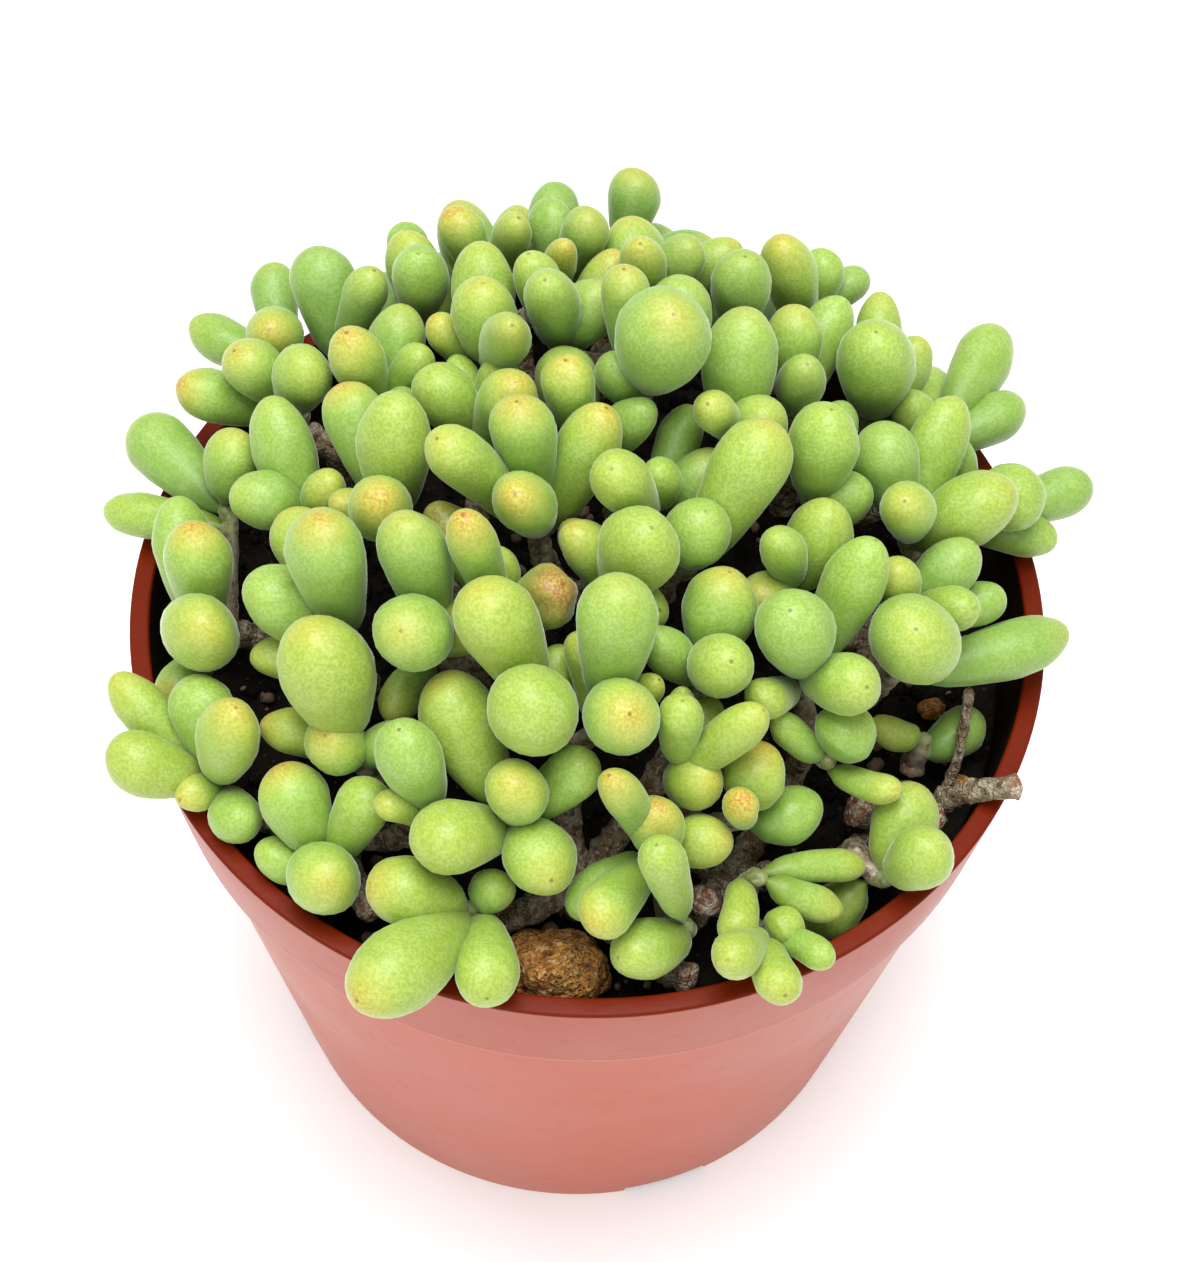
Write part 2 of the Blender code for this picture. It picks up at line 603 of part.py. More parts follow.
def beads(points, radius):
    """Balls along a path, closer than their radius, that stand for it while leaves settle."""
    chain = []
    for start, end in zip(points, points[1:]):
        steps = max(1, math.ceil((end - start).length / radius))
        chain += [(start.lerp(end, step / steps), radius) for step in range(steps + 1)]
    return chain


def obstacles(clumps):
    """Wood and green twigs as balls: centre, radius, and the shoot they belong to (-1 for wood)."""
    balls = []
    for clump in clumps:
        wood = [((clump["fork"] - Vector((0, 0, 4)), clump["fork"]), TRUNK_RADIUS)]
        wood += clump["stubs"]
        wood += [(shoot["branch"], BRANCH_RADIUS) for shoot in clump["shoots"]]
        for path, thickness in wood:
            balls += [(centre, radius, -1)
                      for centre, radius in beads(path, thickness * (1 + KNOBS))]
        for shoot in clump["shoots"]:
            for rosette in shoot["rosettes"]:
                number = rosette["leaves"][0]["shoot"]
                path = (shoot["seat"], rosette["tip"] + rosette["axis"] * BUD_LENGTH)
                balls += [(centre, radius, number) for centre, radius in beads(path, TWIG_RADIUS)]
    return balls


def pot_push(points, sizes):
    """How far, and which way, each ball must move to clear the soil, the rim and the wall."""
    push = np.zeros_like(points)
    out = np.hypot(points[..., 0], points[..., 1])
    low = np.maximum(0, SOIL_TOP + SOIL_ROUGHNESS + sizes + GAP - points[..., 2])
    low[out > RIM_RADIUS] = 0
    push[..., 2] += low
    bead = LIP_WIDTH / 2
    ring = RIM_RADIUS - bead
    rise = points[..., 2] - (POT_HEIGHT - bead)
    away = np.hypot(out - ring, rise)
    lip = np.maximum(0, sizes + LIP_SWELL * bead + 2 * GAP - away)
    outward = lip * (out - ring) / np.maximum(away, 0.01)
    push[..., 2] += lip * np.maximum(LIP_LIFT, rise / np.maximum(away, 0.01))
    inside = (out < ring) & (rise < 0)
    wall = np.where(inside, np.maximum(0, out + sizes + GAP - (ring - 3 * bead)), 0)
    outward = np.where(inside, -wall, outward)
    for axis in (0, 1):
        push[..., axis] += outward * points[..., axis] / np.maximum(out, 1)
    return push


def share_out(push, share):
    """Split a push at a share of the leaf's length between its end and its root."""
    lever = share ** 2 + ROOT_EASE * (1 - share) ** 2
    return push * (share / lever)[:, None], push * (ROOT_EASE * (1 - share) / lever)[:, None]


def leaf_contacts(points, sizes, pairs, strangers):
    """The deepest contact of each pair of leaves: which samples, the gap that lacks, and where."""
    between = points[pairs[0]][:, :, None] - points[pairs[1]][:, None]
    distance = np.linalg.norm(between, axis=3)
    reach = sizes[pairs[0]][:, :, None] + sizes[pairs[1]][:, None] + LEAF_CLEARANCE
    overlap = np.where(strangers, reach - distance, -1)
    worst = overlap.reshape(len(overlap), -1).argmax(axis=1)
    row, column = np.divmod(worst, SETTLING_SAMPLES)
    each = np.arange(len(worst))
    return (row, column, np.maximum(0, overlap[each, row, column]), reach[each, row, column],
            between[each, row, column], np.maximum(distance[each, row, column], 0.01))


def settle(rosettes, balls):
    """Shift leaf ends and growing tips until different shoots, the wood and the pot stay apart.

    Leaves make way mostly along the line of sight, so the plant keeps its look from there.
    """
    leaves = [leaf for rosette in rosettes for leaf in rosette["leaves"]]
    home = np.array([number for number, rosette in enumerate(rosettes)
                     for _ in rosette["leaves"]])
    planned_tips = np.array([rosette["tip"] for rosette in rosettes])
    planned_ends = np.array([leaf["end"] for leaf in leaves])
    offsets = np.array([leaf["root"] for leaf in leaves]) - planned_tips[home]
    radii = np.array([leaf["radius"] for leaf in leaves])
    shoots = np.array([leaf["shoot"] for leaf in leaves])
    shares = np.linspace(FIRST_SAMPLE, 1.0, SETTLING_SAMPLES)
    sizes = CORNER_REACH * (NECK_RADIUS + (radii[:, None] - NECK_RADIUS) * swell(shares))
    lengths = np.linalg.norm(planned_ends - planned_tips[home] - offsets, axis=1)
    middles = (planned_ends + planned_tips[home]) / 2
    sight = EYE - planned_ends
    sight /= np.linalg.norm(sight, axis=1)[:, None]

    apart = np.linalg.norm(middles[:, None] - middles[None], axis=2)
    near = apart < (lengths[:, None] + lengths[None]) / 2 + NEIGHBOUR_REACH
    pairs = np.nonzero(np.triu(near, 1))
    kin = (shoots[pairs[0]] == shoots[pairs[1]])[:, None, None]
    near_root = (shares[:, None] < KIN_SHARE) | (shares[None, :] < KIN_SHARE)
    strangers = ~(kin & near_root)
    pair_sight = sight[pairs[0]] + sight[pairs[1]]
    pair_sight /= np.linalg.norm(pair_sight, axis=1)[:, None]

    ball_at = np.array([centre for centre, _, _ in balls])
    nearest = np.linalg.norm(middles[:, None] - ball_at[None], axis=2).argsort(axis=1)
    nearest = nearest[:, :NEAR_BALLS]
    ball_size = np.array([radius for _, radius, _ in balls])[nearest]
    own = np.array([shoot for _, _, shoot in balls])[nearest] == shoots[:, None]
    each = np.arange(len(leaves))

    tips, ends = planned_tips.copy(), planned_ends.copy()
    for step in range(SETTLING_STEPS):
        fade = 1 - step / SETTLING_STEPS
        roots = tips[home] + offsets
        points = roots[:, None] + (ends - roots)[:, None] * shares[None, :, None]
        end_moves, root_moves = np.zeros_like(ends), np.zeros_like(ends)

        row, column, overlap, reach, between, distance = leaf_contacts(
            points, sizes, pairs, strangers)
        depth = (between * pair_sight).sum(axis=1)
        sideways = np.maximum(0, distance ** 2 - depth ** 2)
        lacking = np.sqrt(np.maximum(0, reach ** 2 - sideways)) - np.abs(depth)
        layering = np.where(overlap > 0, np.minimum(lacking, MOST_LAYERING), 0)
        layering *= np.where(depth < 0, -1, 1)
        push = (LAYERING * layering[:, None] * pair_sight
                + (1 - LAYERING) * (overlap / distance)[:, None] * between)
        for leaf, share, side in ((pairs[0], shares[row], 0.5), (pairs[1], shares[column], -0.5)):
            to_end, to_root = share_out(side * push, share)
            np.add.at(end_moves, leaf, to_end)
            np.add.at(root_moves, leaf, to_root)

        from_ball = points[:, :, None] - ball_at[nearest][:, None]
        distance = np.linalg.norm(from_ball, axis=3)
        overlap = sizes[:, :, None] + ball_size[:, None] + LEAF_CLEARANCE - distance
        overlap = np.where(own[:, None], -1, overlap)
        row, column = np.divmod(overlap.reshape(len(leaves), -1).argmax(axis=1), NEAR_BALLS)
        push = (np.maximum(0, overlap[each, row, column])
                / np.maximum(distance[each, row, column], 0.01))[:, None]
        to_end, to_root = share_out(push * from_ball[each, row, column], shares[row])
        by_pot = pot_push(points, sizes) / shares[None, :, None]
        end_moves += to_end + by_pot.max(axis=1, initial=0) + by_pot.min(axis=1, initial=0)
        root_moves += to_root

        astray = planned_ends - ends
        along = (astray * sight).sum(axis=1)[:, None] * sight
        ends += np.clip(STEP_SHARE * end_moves, -MOST_END_MOVE, MOST_END_MOVE)
        ends += fade * (SIDE_PULL * (astray - along) + DEPTH_PULL * along)
        shift = np.zeros_like(tips)
        np.add.at(shift, home, root_moves)
        shift /= np.bincount(home)[:, None]
        tips += np.clip(STEP_SHARE * shift, -MOST_TIP_MOVE, MOST_TIP_MOVE)
        tips += fade * TIP_PULL * (planned_tips - tips)
        drift = np.linalg.norm(tips - planned_tips, axis=1)[:, None]
        held = np.minimum(1, TIP_DRIFT / np.maximum(drift, 0.01))
        tips = planned_tips + (tips - planned_tips) * held
        roots = tips[home] + offsets
        length = np.linalg.norm(ends - roots, axis=1)
        stretch = np.clip(length, STRETCH[0] * lengths, STRETCH[1] * lengths) / length
        ends = roots + (ends - roots) * stretch[:, None]

    for rosette, tip in zip(rosettes, tips):
        rosette["tip"] = Vector(tip)
    for leaf, end, root in zip(leaves, ends, roots):
        leaf["end"] = Vector(end)
        leaf["root"] = Vector(root)


# Plant

def leaf_solid(leaf):
    """A club-shaped leaf: narrow neck, thick rounded end."""
    axis = leaf["end"] - leaf["root"]
    ahead = axis.normalized()
    radius = leaf["radius"]
    sides, shares, (reach, width) = LEAF_FORMS["large" if radius > SMALL_LEAF else "small"]
    stations = [(leaf["root"] + axis * share,
                 CORNER_REACH * (NECK_RADIUS + (radius - NECK_RADIUS) * swell(share)))
                for share in shares]
    stations.append((leaf["end"] + ahead * reach * radius, width * CORNER_REACH * radius))
    stations.append((leaf["end"] + ahead * radius, 0))
    return loft(stations, sides, leaf["turned"])


def make_shoot(name, shoot):
    seat = shoot["seat"] + shoot["heading"] * GAP
    collar = seat + shoot["heading"] * TWIG_COLLAR
    solids = []
    for place, rosette in enumerate(shoot["rosettes"]):
        foot = seat + shoot["heading"] * place * TWIG_COLLAR / 2
        radius = TWIG_RADIUS * (1 - SECOND_TWIG * place)
        bud = rosette["tip"] + rosette["axis"] * BUD_LENGTH
        stations = ((foot, radius), (collar, radius),
                    (rosette["tip"], 1.1 * TWIG_RADIUS), (bud, 0.5 * TWIG_RADIUS))
        solids.append(loft(stations, TWIG_SIDES, place))
        solids += [leaf_solid(leaf) for leaf in rosette["leaves"]]
    piece, *others = [object_from(bm, name) for bm in solids]
    combine(piece, others, "UNION")
    piece.name = name
    return finish(piece, "leaf", sharp_angle=80.0)


def wood_solid(points, first_radius, last_radius, turned=0.0):
    """A knobbly woody tube through the points."""
    stations = []
    for index, point in enumerate(points):
        share = index / (len(points) - 1)
        radius = first_radius + share * (last_radius - first_radius)
        stations.append((point, radius * (1 + KNOBS * (index % 2))))
    return loft(stations, WOOD_SIDES, turned)


def rooted(path):
    """The path, started a little way back inside the wood that it grows from."""
    back = (path[0] - path[1]).normalized() * ROOT_SINK
    return [path[0] + back, *path[1:]]


def make_wood(clump):
    x, y = clump["foot"]
    bottom = Vector((x, y, SOIL_TOP - HOLE_DEPTH))
    top = clump["fork"] + Vector((0, 0, 1.5))
    trunk = bent_path(bottom, (bottom + top) / 2, top, 3)
    solids = [wood_solid(trunk, TRUNK_RADIUS, 0.9 * TRUNK_RADIUS)]
    for turned, (path, radius) in enumerate(clump["stubs"], start=1):
        solids.append(wood_solid(rooted(path), radius, radius, turned))
    for turned, shoot in enumerate(clump["shoots"]):
        solids.append(wood_solid(rooted(shoot["branch"]), BRANCH_RADIUS, TWIG_RADIUS, turned / 2))
    name = "stem_" + clump["name"]
    piece, *others = [object_from(bm, name) for bm in solids]
    combine(piece, others, "UNION")
    piece.name = name
    return finish(piece, "wood", sharp_angle=60.0)


def main():
    clear_scene()
    make_pot()
    clumps = plan_clumps()
    make_soil([clump["foot"] for clump in clumps])
    make_stone("pumice_stone", STONE_SIZE, *STONE_PLACE, seed=3)
    for index, (x, y, size) in enumerate(PEBBLES):
        make_stone(f"pebble_{index + 1}", (size, 0.8 * size, 0.8 * size), x, y, seed=10 + index)
    rosettes = [rosette for clump in clumps for shoot in clump["shoots"]
                for rosette in shoot["rosettes"]]
    settle(rosettes, obstacles(clumps))
    for clump in clumps:
        make_wood(clump)
        for index, shoot in enumerate(clump["shoots"]):
            make_shoot(f"shoot_{clump['name']}_{index + 1}", shoot)


main()
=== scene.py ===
import math
import random

import bmesh
import bpy
import numpy as np
from mathutils import Matrix, Vector, noise


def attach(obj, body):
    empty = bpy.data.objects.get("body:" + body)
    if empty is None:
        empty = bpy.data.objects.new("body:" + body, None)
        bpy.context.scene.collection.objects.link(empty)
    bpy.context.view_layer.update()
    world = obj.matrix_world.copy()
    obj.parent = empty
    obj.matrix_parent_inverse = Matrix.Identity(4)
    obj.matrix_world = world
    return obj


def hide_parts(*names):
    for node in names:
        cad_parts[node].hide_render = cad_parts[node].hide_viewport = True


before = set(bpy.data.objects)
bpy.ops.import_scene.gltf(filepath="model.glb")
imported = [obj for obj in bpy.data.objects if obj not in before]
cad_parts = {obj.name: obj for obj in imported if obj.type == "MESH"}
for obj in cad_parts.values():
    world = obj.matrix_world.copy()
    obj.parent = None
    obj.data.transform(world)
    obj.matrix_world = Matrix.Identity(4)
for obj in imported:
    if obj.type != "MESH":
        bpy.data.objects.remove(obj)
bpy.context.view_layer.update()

# Potted dragon egg succulent. Sizes are in millimetres, with the origin in the middle of the
# pot's base, +Z up and the stone on the -Y side; mm turns them into the frame's metres.
mm = 0.001
print("frame:", len(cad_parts), "nodes")


# Meshes

def addObject(name, data):
    made = bpy.data.objects.new(name, data)
    bpy.context.scene.collection.objects.link(made)
    return made


def addMesh(bm, name):
    # an object from points in millimetres
    bmesh.ops.scale(bm, vec=(mm, mm, mm), verts=bm.verts)
    mesh = bpy.data.meshes.new(name)
    bm.to_mesh(mesh)
    bm.free()
    return addObject(name, mesh)


def dressNode(bm, name, slotName, finish, *nodes):
    # a finished piece: at the origin, smooth, with one material, riding on the frame
    piece = addMesh(bm, name)
    piece.data.shade_smooth()
    piece.data.materials.append(finish)
    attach(piece, "root")
    if nodes:
        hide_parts(*nodes)
    return piece


def stretchBall(bm, around, along, place):
    # a UV sphere whose points go where place(corner, turn, lift) says: turn is the direction
    # round the axis, and lift runs from 0 at the first pole to 1 at the last
    made = bmesh.ops.create_uvsphere(bm, u_segments=around, v_segments=along, radius=1.0)
    for corner in made["verts"]:
        lift = math.acos(max(-1.0, min(1.0, -corner.co.z))) / math.pi
        turn = Vector((corner.co.x, corner.co.y))
        if turn.length > 0.001:
            turn.normalize()
        corner.co = place(corner, turn, lift)
    return made["verts"]


def clamp(value):
    return max(0.0, min(1.0, value))


def bump(point, size, height, seed=0.0):
    return height * noise.noise(point / size + Vector((seed, seed, 0)))


def pathPoint(path, share):
    # the point at a share of the path's length, and the heading there
    lengths = [(end - start).length for start, end in zip(path, path[1:])]
    left = share * sum(lengths)
    for number, length in enumerate(lengths):
        if left <= length or number == len(lengths) - 1:
            start, end = path[number], path[number + 1]
            return start.lerp(end, left / length), (end - start).normalized()
        left -= length


def aroundPath(path, across, turn, lift):
    # the point at a share of the path, and the direction that leaves it at this turn
    centre, heading = pathPoint(path, lift)
    side = (across - heading * across.dot(heading)).normalized()
    return centre, side * turn.x + heading.cross(side) * turn.y


# Shader nodes

def setSockets(tree, node, sockets):
    for key, value in sockets.items():
        if isinstance(value, bpy.types.NodeSocket):
            tree.links.new(value, node.inputs[key])
        else:
            node.inputs[key].default_value = value
    return node


def addNode(tree, kind, sockets=None, **settings):
    made = tree.nodes.new(kind)
    for key, value in settings.items():
        setattr(made, key, value)
    return setSockets(tree, made, sockets or {})


def mixColours(tree, factor, first, second):
    # sockets 0, 6 and 7 of the mix node are the factor and the two colours
    colours = [(*value[:3], 1) if isinstance(value, tuple) else value for value in (first, second)]
    return addNode(tree, "ShaderNodeMix", {0: factor, 6: colours[0], 7: colours[1]},
                   data_type="RGBA").outputs[2]


def calculate(tree, operation, first, second):
    return addNode(tree, "ShaderNodeMath", {0: first, 1: second}, operation=operation).outputs[0]


def multiply(tree, first, second):
    return calculate(tree, "MULTIPLY", first, second)


def paint(tree, colour, look, **covers):
    # lays colours of a look over one another, each where its mask is and at its own strength,
    # which is the fourth number of the colour
    for name, cover in covers.items():
        strength = look[name][3]
        if strength < 1:
            cover = multiply(tree, cover, strength)
        colour = mixColours(tree, cover, colour, look[name])
    return colour


def ramp(tree, value, low, high, start=0.0, end=1.0):
    return addNode(tree, "ShaderNodeMapRange",
                   {"Value": value, "From Min": low, "From Max": high,
                    "To Min": start, "To Max": end}).outputs[0]


def makeGroup(name, values):
    # an effect that several finishes share: a mask from 0 to 1 over the surface
    tree = bpy.data.node_groups.new(name, "ShaderNodeTree")
    tree.interface.new_socket("Place", in_out="INPUT", socket_type="NodeSocketVector")
    for socketName, value in values.items():
        socket = tree.interface.new_socket(socketName, in_out="INPUT",
                                           socket_type="NodeSocketFloat")
        socket.default_value = value
    tree.interface.new_socket("Mask", in_out="OUTPUT", socket_type="NodeSocketFloat")
    given = addNode(tree, "NodeGroupInput").outputs
    result = addNode(tree, "NodeGroupOutput").inputs["Mask"]
    return tree, given, result


def makeMottle():
    # cloudy patches, from 0 under Low to 1 over High
    tree, given, result = makeGroup("mottle", {"Scale": 100, "Detail": 3, "Low": 0.4, "High": 0.6})
    cloud = addNode(tree, "ShaderNodeTexNoise", {
        "Vector": given["Place"], "Scale": given["Scale"], "Detail": given["Detail"]})
    tree.links.new(ramp(tree, cloud.outputs[0], given["Low"], given["High"]), result)
    return tree


def makeSpeckle():
    # round dots of uneven size
    tree, given, result = makeGroup("speckle", {"Scale": 900, "Size": 0.2, "Edge": 0.15})
    cells = addNode(tree, "ShaderNodeTexVoronoi", {"Vector": given["Place"],
                                                   "Scale": given["Scale"]})
    draw = addNode(tree, "ShaderNodeSeparateColor", {"Color": cells.outputs["Color"]})
    size = multiply(tree, draw.outputs[0], given["Size"])
    edge = calculate(tree, "ADD", size, given["Edge"])
    tree.links.new(ramp(tree, cells.outputs["Distance"], size, edge, 1.0, 0.0), result)
    return tree


def makeCrackle():
    # cracks between the scales of bark or the grains of a stone
    tree, given, result = makeGroup("crackle", {"Scale": 600, "Width": 0.08})
    cells = addNode(tree, "ShaderNodeTexVoronoi", {"Vector": given["Place"],
                                                   "Scale": given["Scale"]},
                    feature="DISTANCE_TO_EDGE")
    tree.links.new(ramp(tree, cells.outputs["Distance"], 0.0, given["Width"], 1.0, 0.0), result)
    return tree


mottle, speckle, crackle = makeMottle(), makeSpeckle(), makeCrackle()


def fineNoise(tree, place, scale, detail):
    return addNode(tree, "ShaderNodeTexNoise",
                   {"Vector": place, "Scale": scale, "Detail": detail}).outputs[0]


def mask(tree, effect, place, **values):
    made = addNode(tree, "ShaderNodeGroup", node_tree=effect)
    return setSockets(tree, made, {"Place": place, **values}).outputs["Mask"]


def startFinish(name, **plain):
    # a new material, its shader with the values that are the same all over, and its place input
    made = bpy.data.materials.new(name)
    made.use_nodes = True
    tree = made.node_tree
    shader = tree.nodes["Principled BSDF"]
    for key, value in plain.items():
        shader.inputs[key.replace("_", " ")].default_value = value
    place = addNode(tree, "ShaderNodeTexCoord").outputs["Object"]
    return made, tree, shader, place


def attribute(tree, name, output="Fac"):
    return addNode(tree, "ShaderNodeAttribute", attribute_name=name).outputs[output]


def endFinish(tree, shader, colour, height, depth):
    tree.links.new(colour, shader.inputs["Base Color"])
    relief = addNode(tree, "ShaderNodeBump", {"Height": height, "Distance": depth * mm,
                                              "Strength": 1.0})
    tree.links.new(relief.outputs["Normal"], shader.inputs["Normal"])


def fromAxis(tree, vector):
    # the part of a vector across the upright axis, its length, and the height
    parts = addNode(tree, "ShaderNodeSeparateXYZ", {"Vector": vector}).outputs
    flat = addNode(tree, "ShaderNodeCombineXYZ", {"X": parts["X"], "Y": parts["Y"]}).outputs[0]
    distance = addNode(tree, "ShaderNodeVectorMath", {0: flat}, operation="LENGTH").outputs[1]
    return flat, distance, parts["Z"]


# Pot

potShape = {
    "rimRadius": 70.0, "lipWidth": 3.0, "height": 110.0, "collarHeight": 21.0,
    "collarTaper": 2.6, "collarStep": 1.5, "baseRadius": 52.5, "wall": 1.5, "floor": 2.2,
    "edgeRound": 0.5, "sides": 176,
    "notches": 4, "notchFirst": -70.0, "notchWidth": 15.0, "notchDepth": 5.0, "notchHeight": 2.0,
    "drainHoles": 4, "drainRadius": 4.0, "drainRing": 30.0,
    "wallColour": (0.380, 0.050, 0.008), "faded": (0.410, 0.058, 0.012),
    # painted over the wall in this order; the fourth number is how strongly
    "footColour": (0.430, 0.070, 0.012, 0.7), "shadow": (0.200, 0.020, 0.005, 0.6),
    # collarColour paints the collar darker than the wall below it: painted shade of the step, on the
    # same plastic
    # edgeColour is a painted highlight: a lighter line where the collar's lower edge would catch the
    # light
    "collarColour": (0.330, 0.040, 0.006, 0.85), "edgeColour": (0.620, 0.200, 0.120, 0.5),
    "scuffs": (0.50, 0.16, 0.10, 0.03), "dust": (0.55, 0.32, 0.24, 0.25),
    # stainAndShade paints the inner side near black: soil stain together with painted shade inside the
    # pot
    "lipColour": (0.140, 0.011, 0.001, 1), "stainAndShade": (0.016, 0.010, 0.007),
    # where those bands fade in: depth in the wall, then heights from the lip, base and step
    "outerBand": (-1.1, -0.6), "lipBand": (-0.8, -0.4), "footBand": (9.0, 1.0),
    "edgeHighlightBand": (1.0, 0.4), "shadowBand": (-4.2, -2.3),
    "gloss": 0.08, "bloom": 0.01,    # the waxy veil on the outer side only
    "roughness": (0.34, 0.46), "scuffRoughness": 0.06, "shine": (0.10, 0.50), "grain": 0.05,
    "sharpAngle": 40,
}
collarFoot = potShape["rimRadius"] - potShape["collarTaper"]
wallTopRadius = collarFoot - potShape["collarStep"]
stepHeight = potShape["height"] - potShape["collarHeight"]


def innerRadius(height):
    if height < stepHeight:
        rise = height / stepHeight
        return potShape["baseRadius"] + rise * (wallTopRadius - potShape["baseRadius"]) \
            - potShape["wall"]
    rise = (height - stepHeight) / potShape["collarHeight"]
    foot = wallTopRadius - potShape["wall"]
    return foot + rise * (potShape["rimRadius"] - potShape["lipWidth"] - foot)


def arc(centre, radius, first, last, steps=5):
    # points of a rounded edge in the pot's cross-section, from one direction to another
    return [(centre[0] + radius * math.cos(math.radians(first + (last - first) * step / steps)),
             centre[1] + radius * math.sin(math.radians(first + (last - first) * step / steps)))
            for step in range(steps + 1)]


def potOutline():
    top, edge = potShape["height"], potShape["edgeRound"]
    rim, foot = potShape["rimRadius"], potShape["baseRadius"]
    inner = rim - potShape["lipWidth"]
    outline = [(0, potShape["floor"]), (innerRadius(potShape["floor"]), potShape["floor"]),
               (innerRadius(stepHeight), stepHeight)]
    outline += arc((inner + edge, top - edge), edge, 180, 90)
    outline += arc((rim - edge, top - edge), edge, 90, 0)
    outline += arc((collarFoot - edge, stepHeight + edge), edge, 0, -90)
    outline += [(wallTopRadius, stepHeight)]
    outline += [(wallTopRadius - 0.9 * share * (wallTopRadius - foot),
                 stepHeight * (1 - 0.9 * share)) for share in (0.3, 0.6, 1.0)]
    outline += arc((foot - edge, edge), edge, 0, -90)
    return outline + [(0, 0)]


def spinOutline(outline, sides):
    bm = bmesh.new()
    corners = [bm.verts.new((radius, 0, height)) for radius, height in outline]
    edges = [bm.edges.new(pair) for pair in zip(corners, corners[1:])]
    bmesh.ops.spin(bm, geom=corners + edges, cent=(0, 0, 0), axis=(0, 0, 1), angle=math.tau,
                   steps=sides, use_merge=True, use_duplicate=False)
    bmesh.ops.remove_doubles(bm, verts=bm.verts, dist=0.001)
    bmesh.ops.recalc_face_normals(bm, faces=bm.faces)
    return bm


def potCutters():
    tools = []
    for number in range(potShape["notches"]):
        turn = math.radians(potShape["notchFirst"]) + math.tau * number / potShape["notches"]
        bm = bmesh.new()
        bmesh.ops.create_cube(bm, size=1.0)
        bmesh.ops.scale(bm, vec=(2 * potShape["notchDepth"], potShape["notchWidth"],
                                 2 * potShape["notchHeight"]), verts=bm.verts)
        bmesh.ops.translate(bm, vec=(potShape["baseRadius"], 0, 0), verts=bm.verts)
        bmesh.ops.rotate(bm, matrix=Matrix.Rotation(turn, 3, "Z"), verts=bm.verts)
        tools.append(addMesh(bm, "cutter"))
    for number in range(potShape["drainHoles"]):
        turn = math.tau * (number + 0.5) / potShape["drainHoles"]
        bm = bmesh.new()
        bmesh.ops.create_cone(bm, cap_ends=True, segments=32, radius1=potShape["drainRadius"],
                              radius2=potShape["drainRadius"], depth=4 * potShape["floor"])
        bmesh.ops.translate(bm, vec=(potShape["drainRing"] * math.cos(turn),
                                     potShape["drainRing"] * math.sin(turn), 0), verts=bm.verts)
        tools.append(addMesh(bm, "cutter"))
    return tools


def cutAway(piece, tools):
    for tool in tools:
        cut = piece.modifiers.new("cut", "BOOLEAN")
        cut.operation = "DIFFERENCE"
        cut.object = tool
    bpy.context.view_layer.update()
    seen = piece.evaluated_get(bpy.context.evaluated_depsgraph_get())
    cutMesh = bpy.data.meshes.new_from_object(seen)
    piece.modifiers.clear()
    piece.data = cutMesh
    for tool in tools:
        bpy.data.objects.remove(tool, do_unlink=True)
    piece.data.set_sharp_from_angle(angle=math.radians(potShape["sharpAngle"]))


def potMasks(tree, place):
    # outer side, lip, collar, foot, and, where the collar ends, a painted highlight along its lower
    # edge and a painted shadow on the wall under it
    _, distance, height = fromAxis(tree, place)
    step, top = stepHeight * mm, potShape["height"] * mm
    collar = calculate(tree, "GREATER_THAN", height, step)
    wall = calculate(tree, "SUBTRACT", 1.0, collar)
    outline = ramp(tree, height, 0.0, step, potShape["baseRadius"] * mm, wallTopRadius * mm)
    overhang = ramp(tree, height, step, top, potShape["collarStep"] * mm,
                    (potShape["rimRadius"] - wallTopRadius) * mm)
    outline = calculate(tree, "ADD", outline, multiply(tree, collar, overhang))

    def band(value, level, name):
        start, end = potShape[name]
        return ramp(tree, value, level + start * mm, level + end * mm)

    return (band(calculate(tree, "SUBTRACT", distance, outline), 0.0, "outerBand"),
            band(height, top, "lipBand"), collar, band(height, 0.0, "footBand"),
            multiply(tree, collar, band(height, step, "edgeHighlightBand")),
            multiply(tree, wall, band(height, step, "shadowBand")))


def makePotFinish():
    finish, tree, shader, place = startFinish("potPlastic", Coat_Roughness=0.32,
                                              Sheen_Roughness=0.30)
    outer, lip, collar, foot, edge, shadow = potMasks(tree, place)
    cloud = mask(tree, mottle, place, Scale=22, Detail=4, Low=0.35, High=0.65)
    scuffs = mask(tree, mottle, place, Scale=240, Detail=8, Low=0.58, High=0.70)
    dust = mask(tree, speckle, place, Scale=420, Size=0.07, Edge=0.05)
    colour = mixColours(tree, cloud, potShape["wallColour"], potShape["faded"])
    # over the wall: the foot colour, a painted shadow under the step, the collar darkened as painted
    # shade, a painted highlight on the collar's lower edge, scuffs and dust
    colour = paint(tree, colour, potShape, footColour=foot, shadow=shadow, collarColour=collar,
                   edgeColour=edge, scuffs=scuffs, dust=dust)
    # the inner side, away from the outer band, painted near black: soil stain with painted shade of
    # the pot's inside
    colour = mixColours(tree, outer, potShape["stainAndShade"], colour)
    colour = paint(tree, colour, potShape, lipColour=lip)
    veil = multiply(tree, outer, calculate(tree, "SUBTRACT", 1.0, lip))
    rough = calculate(tree, "ADD", multiply(tree, scuffs, potShape["scuffRoughness"]),
                      ramp(tree, cloud, 0.0, 1.0, *potShape["roughness"]))
    for socket, value in (("Coat Weight", multiply(tree, veil, potShape["gloss"])),
                          ("Sheen Weight", multiply(tree, veil, potShape["bloom"])),
                          ("Specular IOR Level", ramp(tree, veil, 0.0, 1.0, *potShape["shine"])),
                          ("Roughness", rough)):
        tree.links.new(value, shader.inputs[socket])
    endFinish(tree, shader, colour, fineNoise(tree, place, 900.0, 3.0), potShape["grain"])
    return finish


pot = dressNode(spinOutline(potOutline(), potShape["sides"]), "potShell", "pot", makePotFinish(),
                "pot")
cutAway(pot, potCutters())
print("pot:", len(pot.data.polygons), "faces")


# Soil and stones

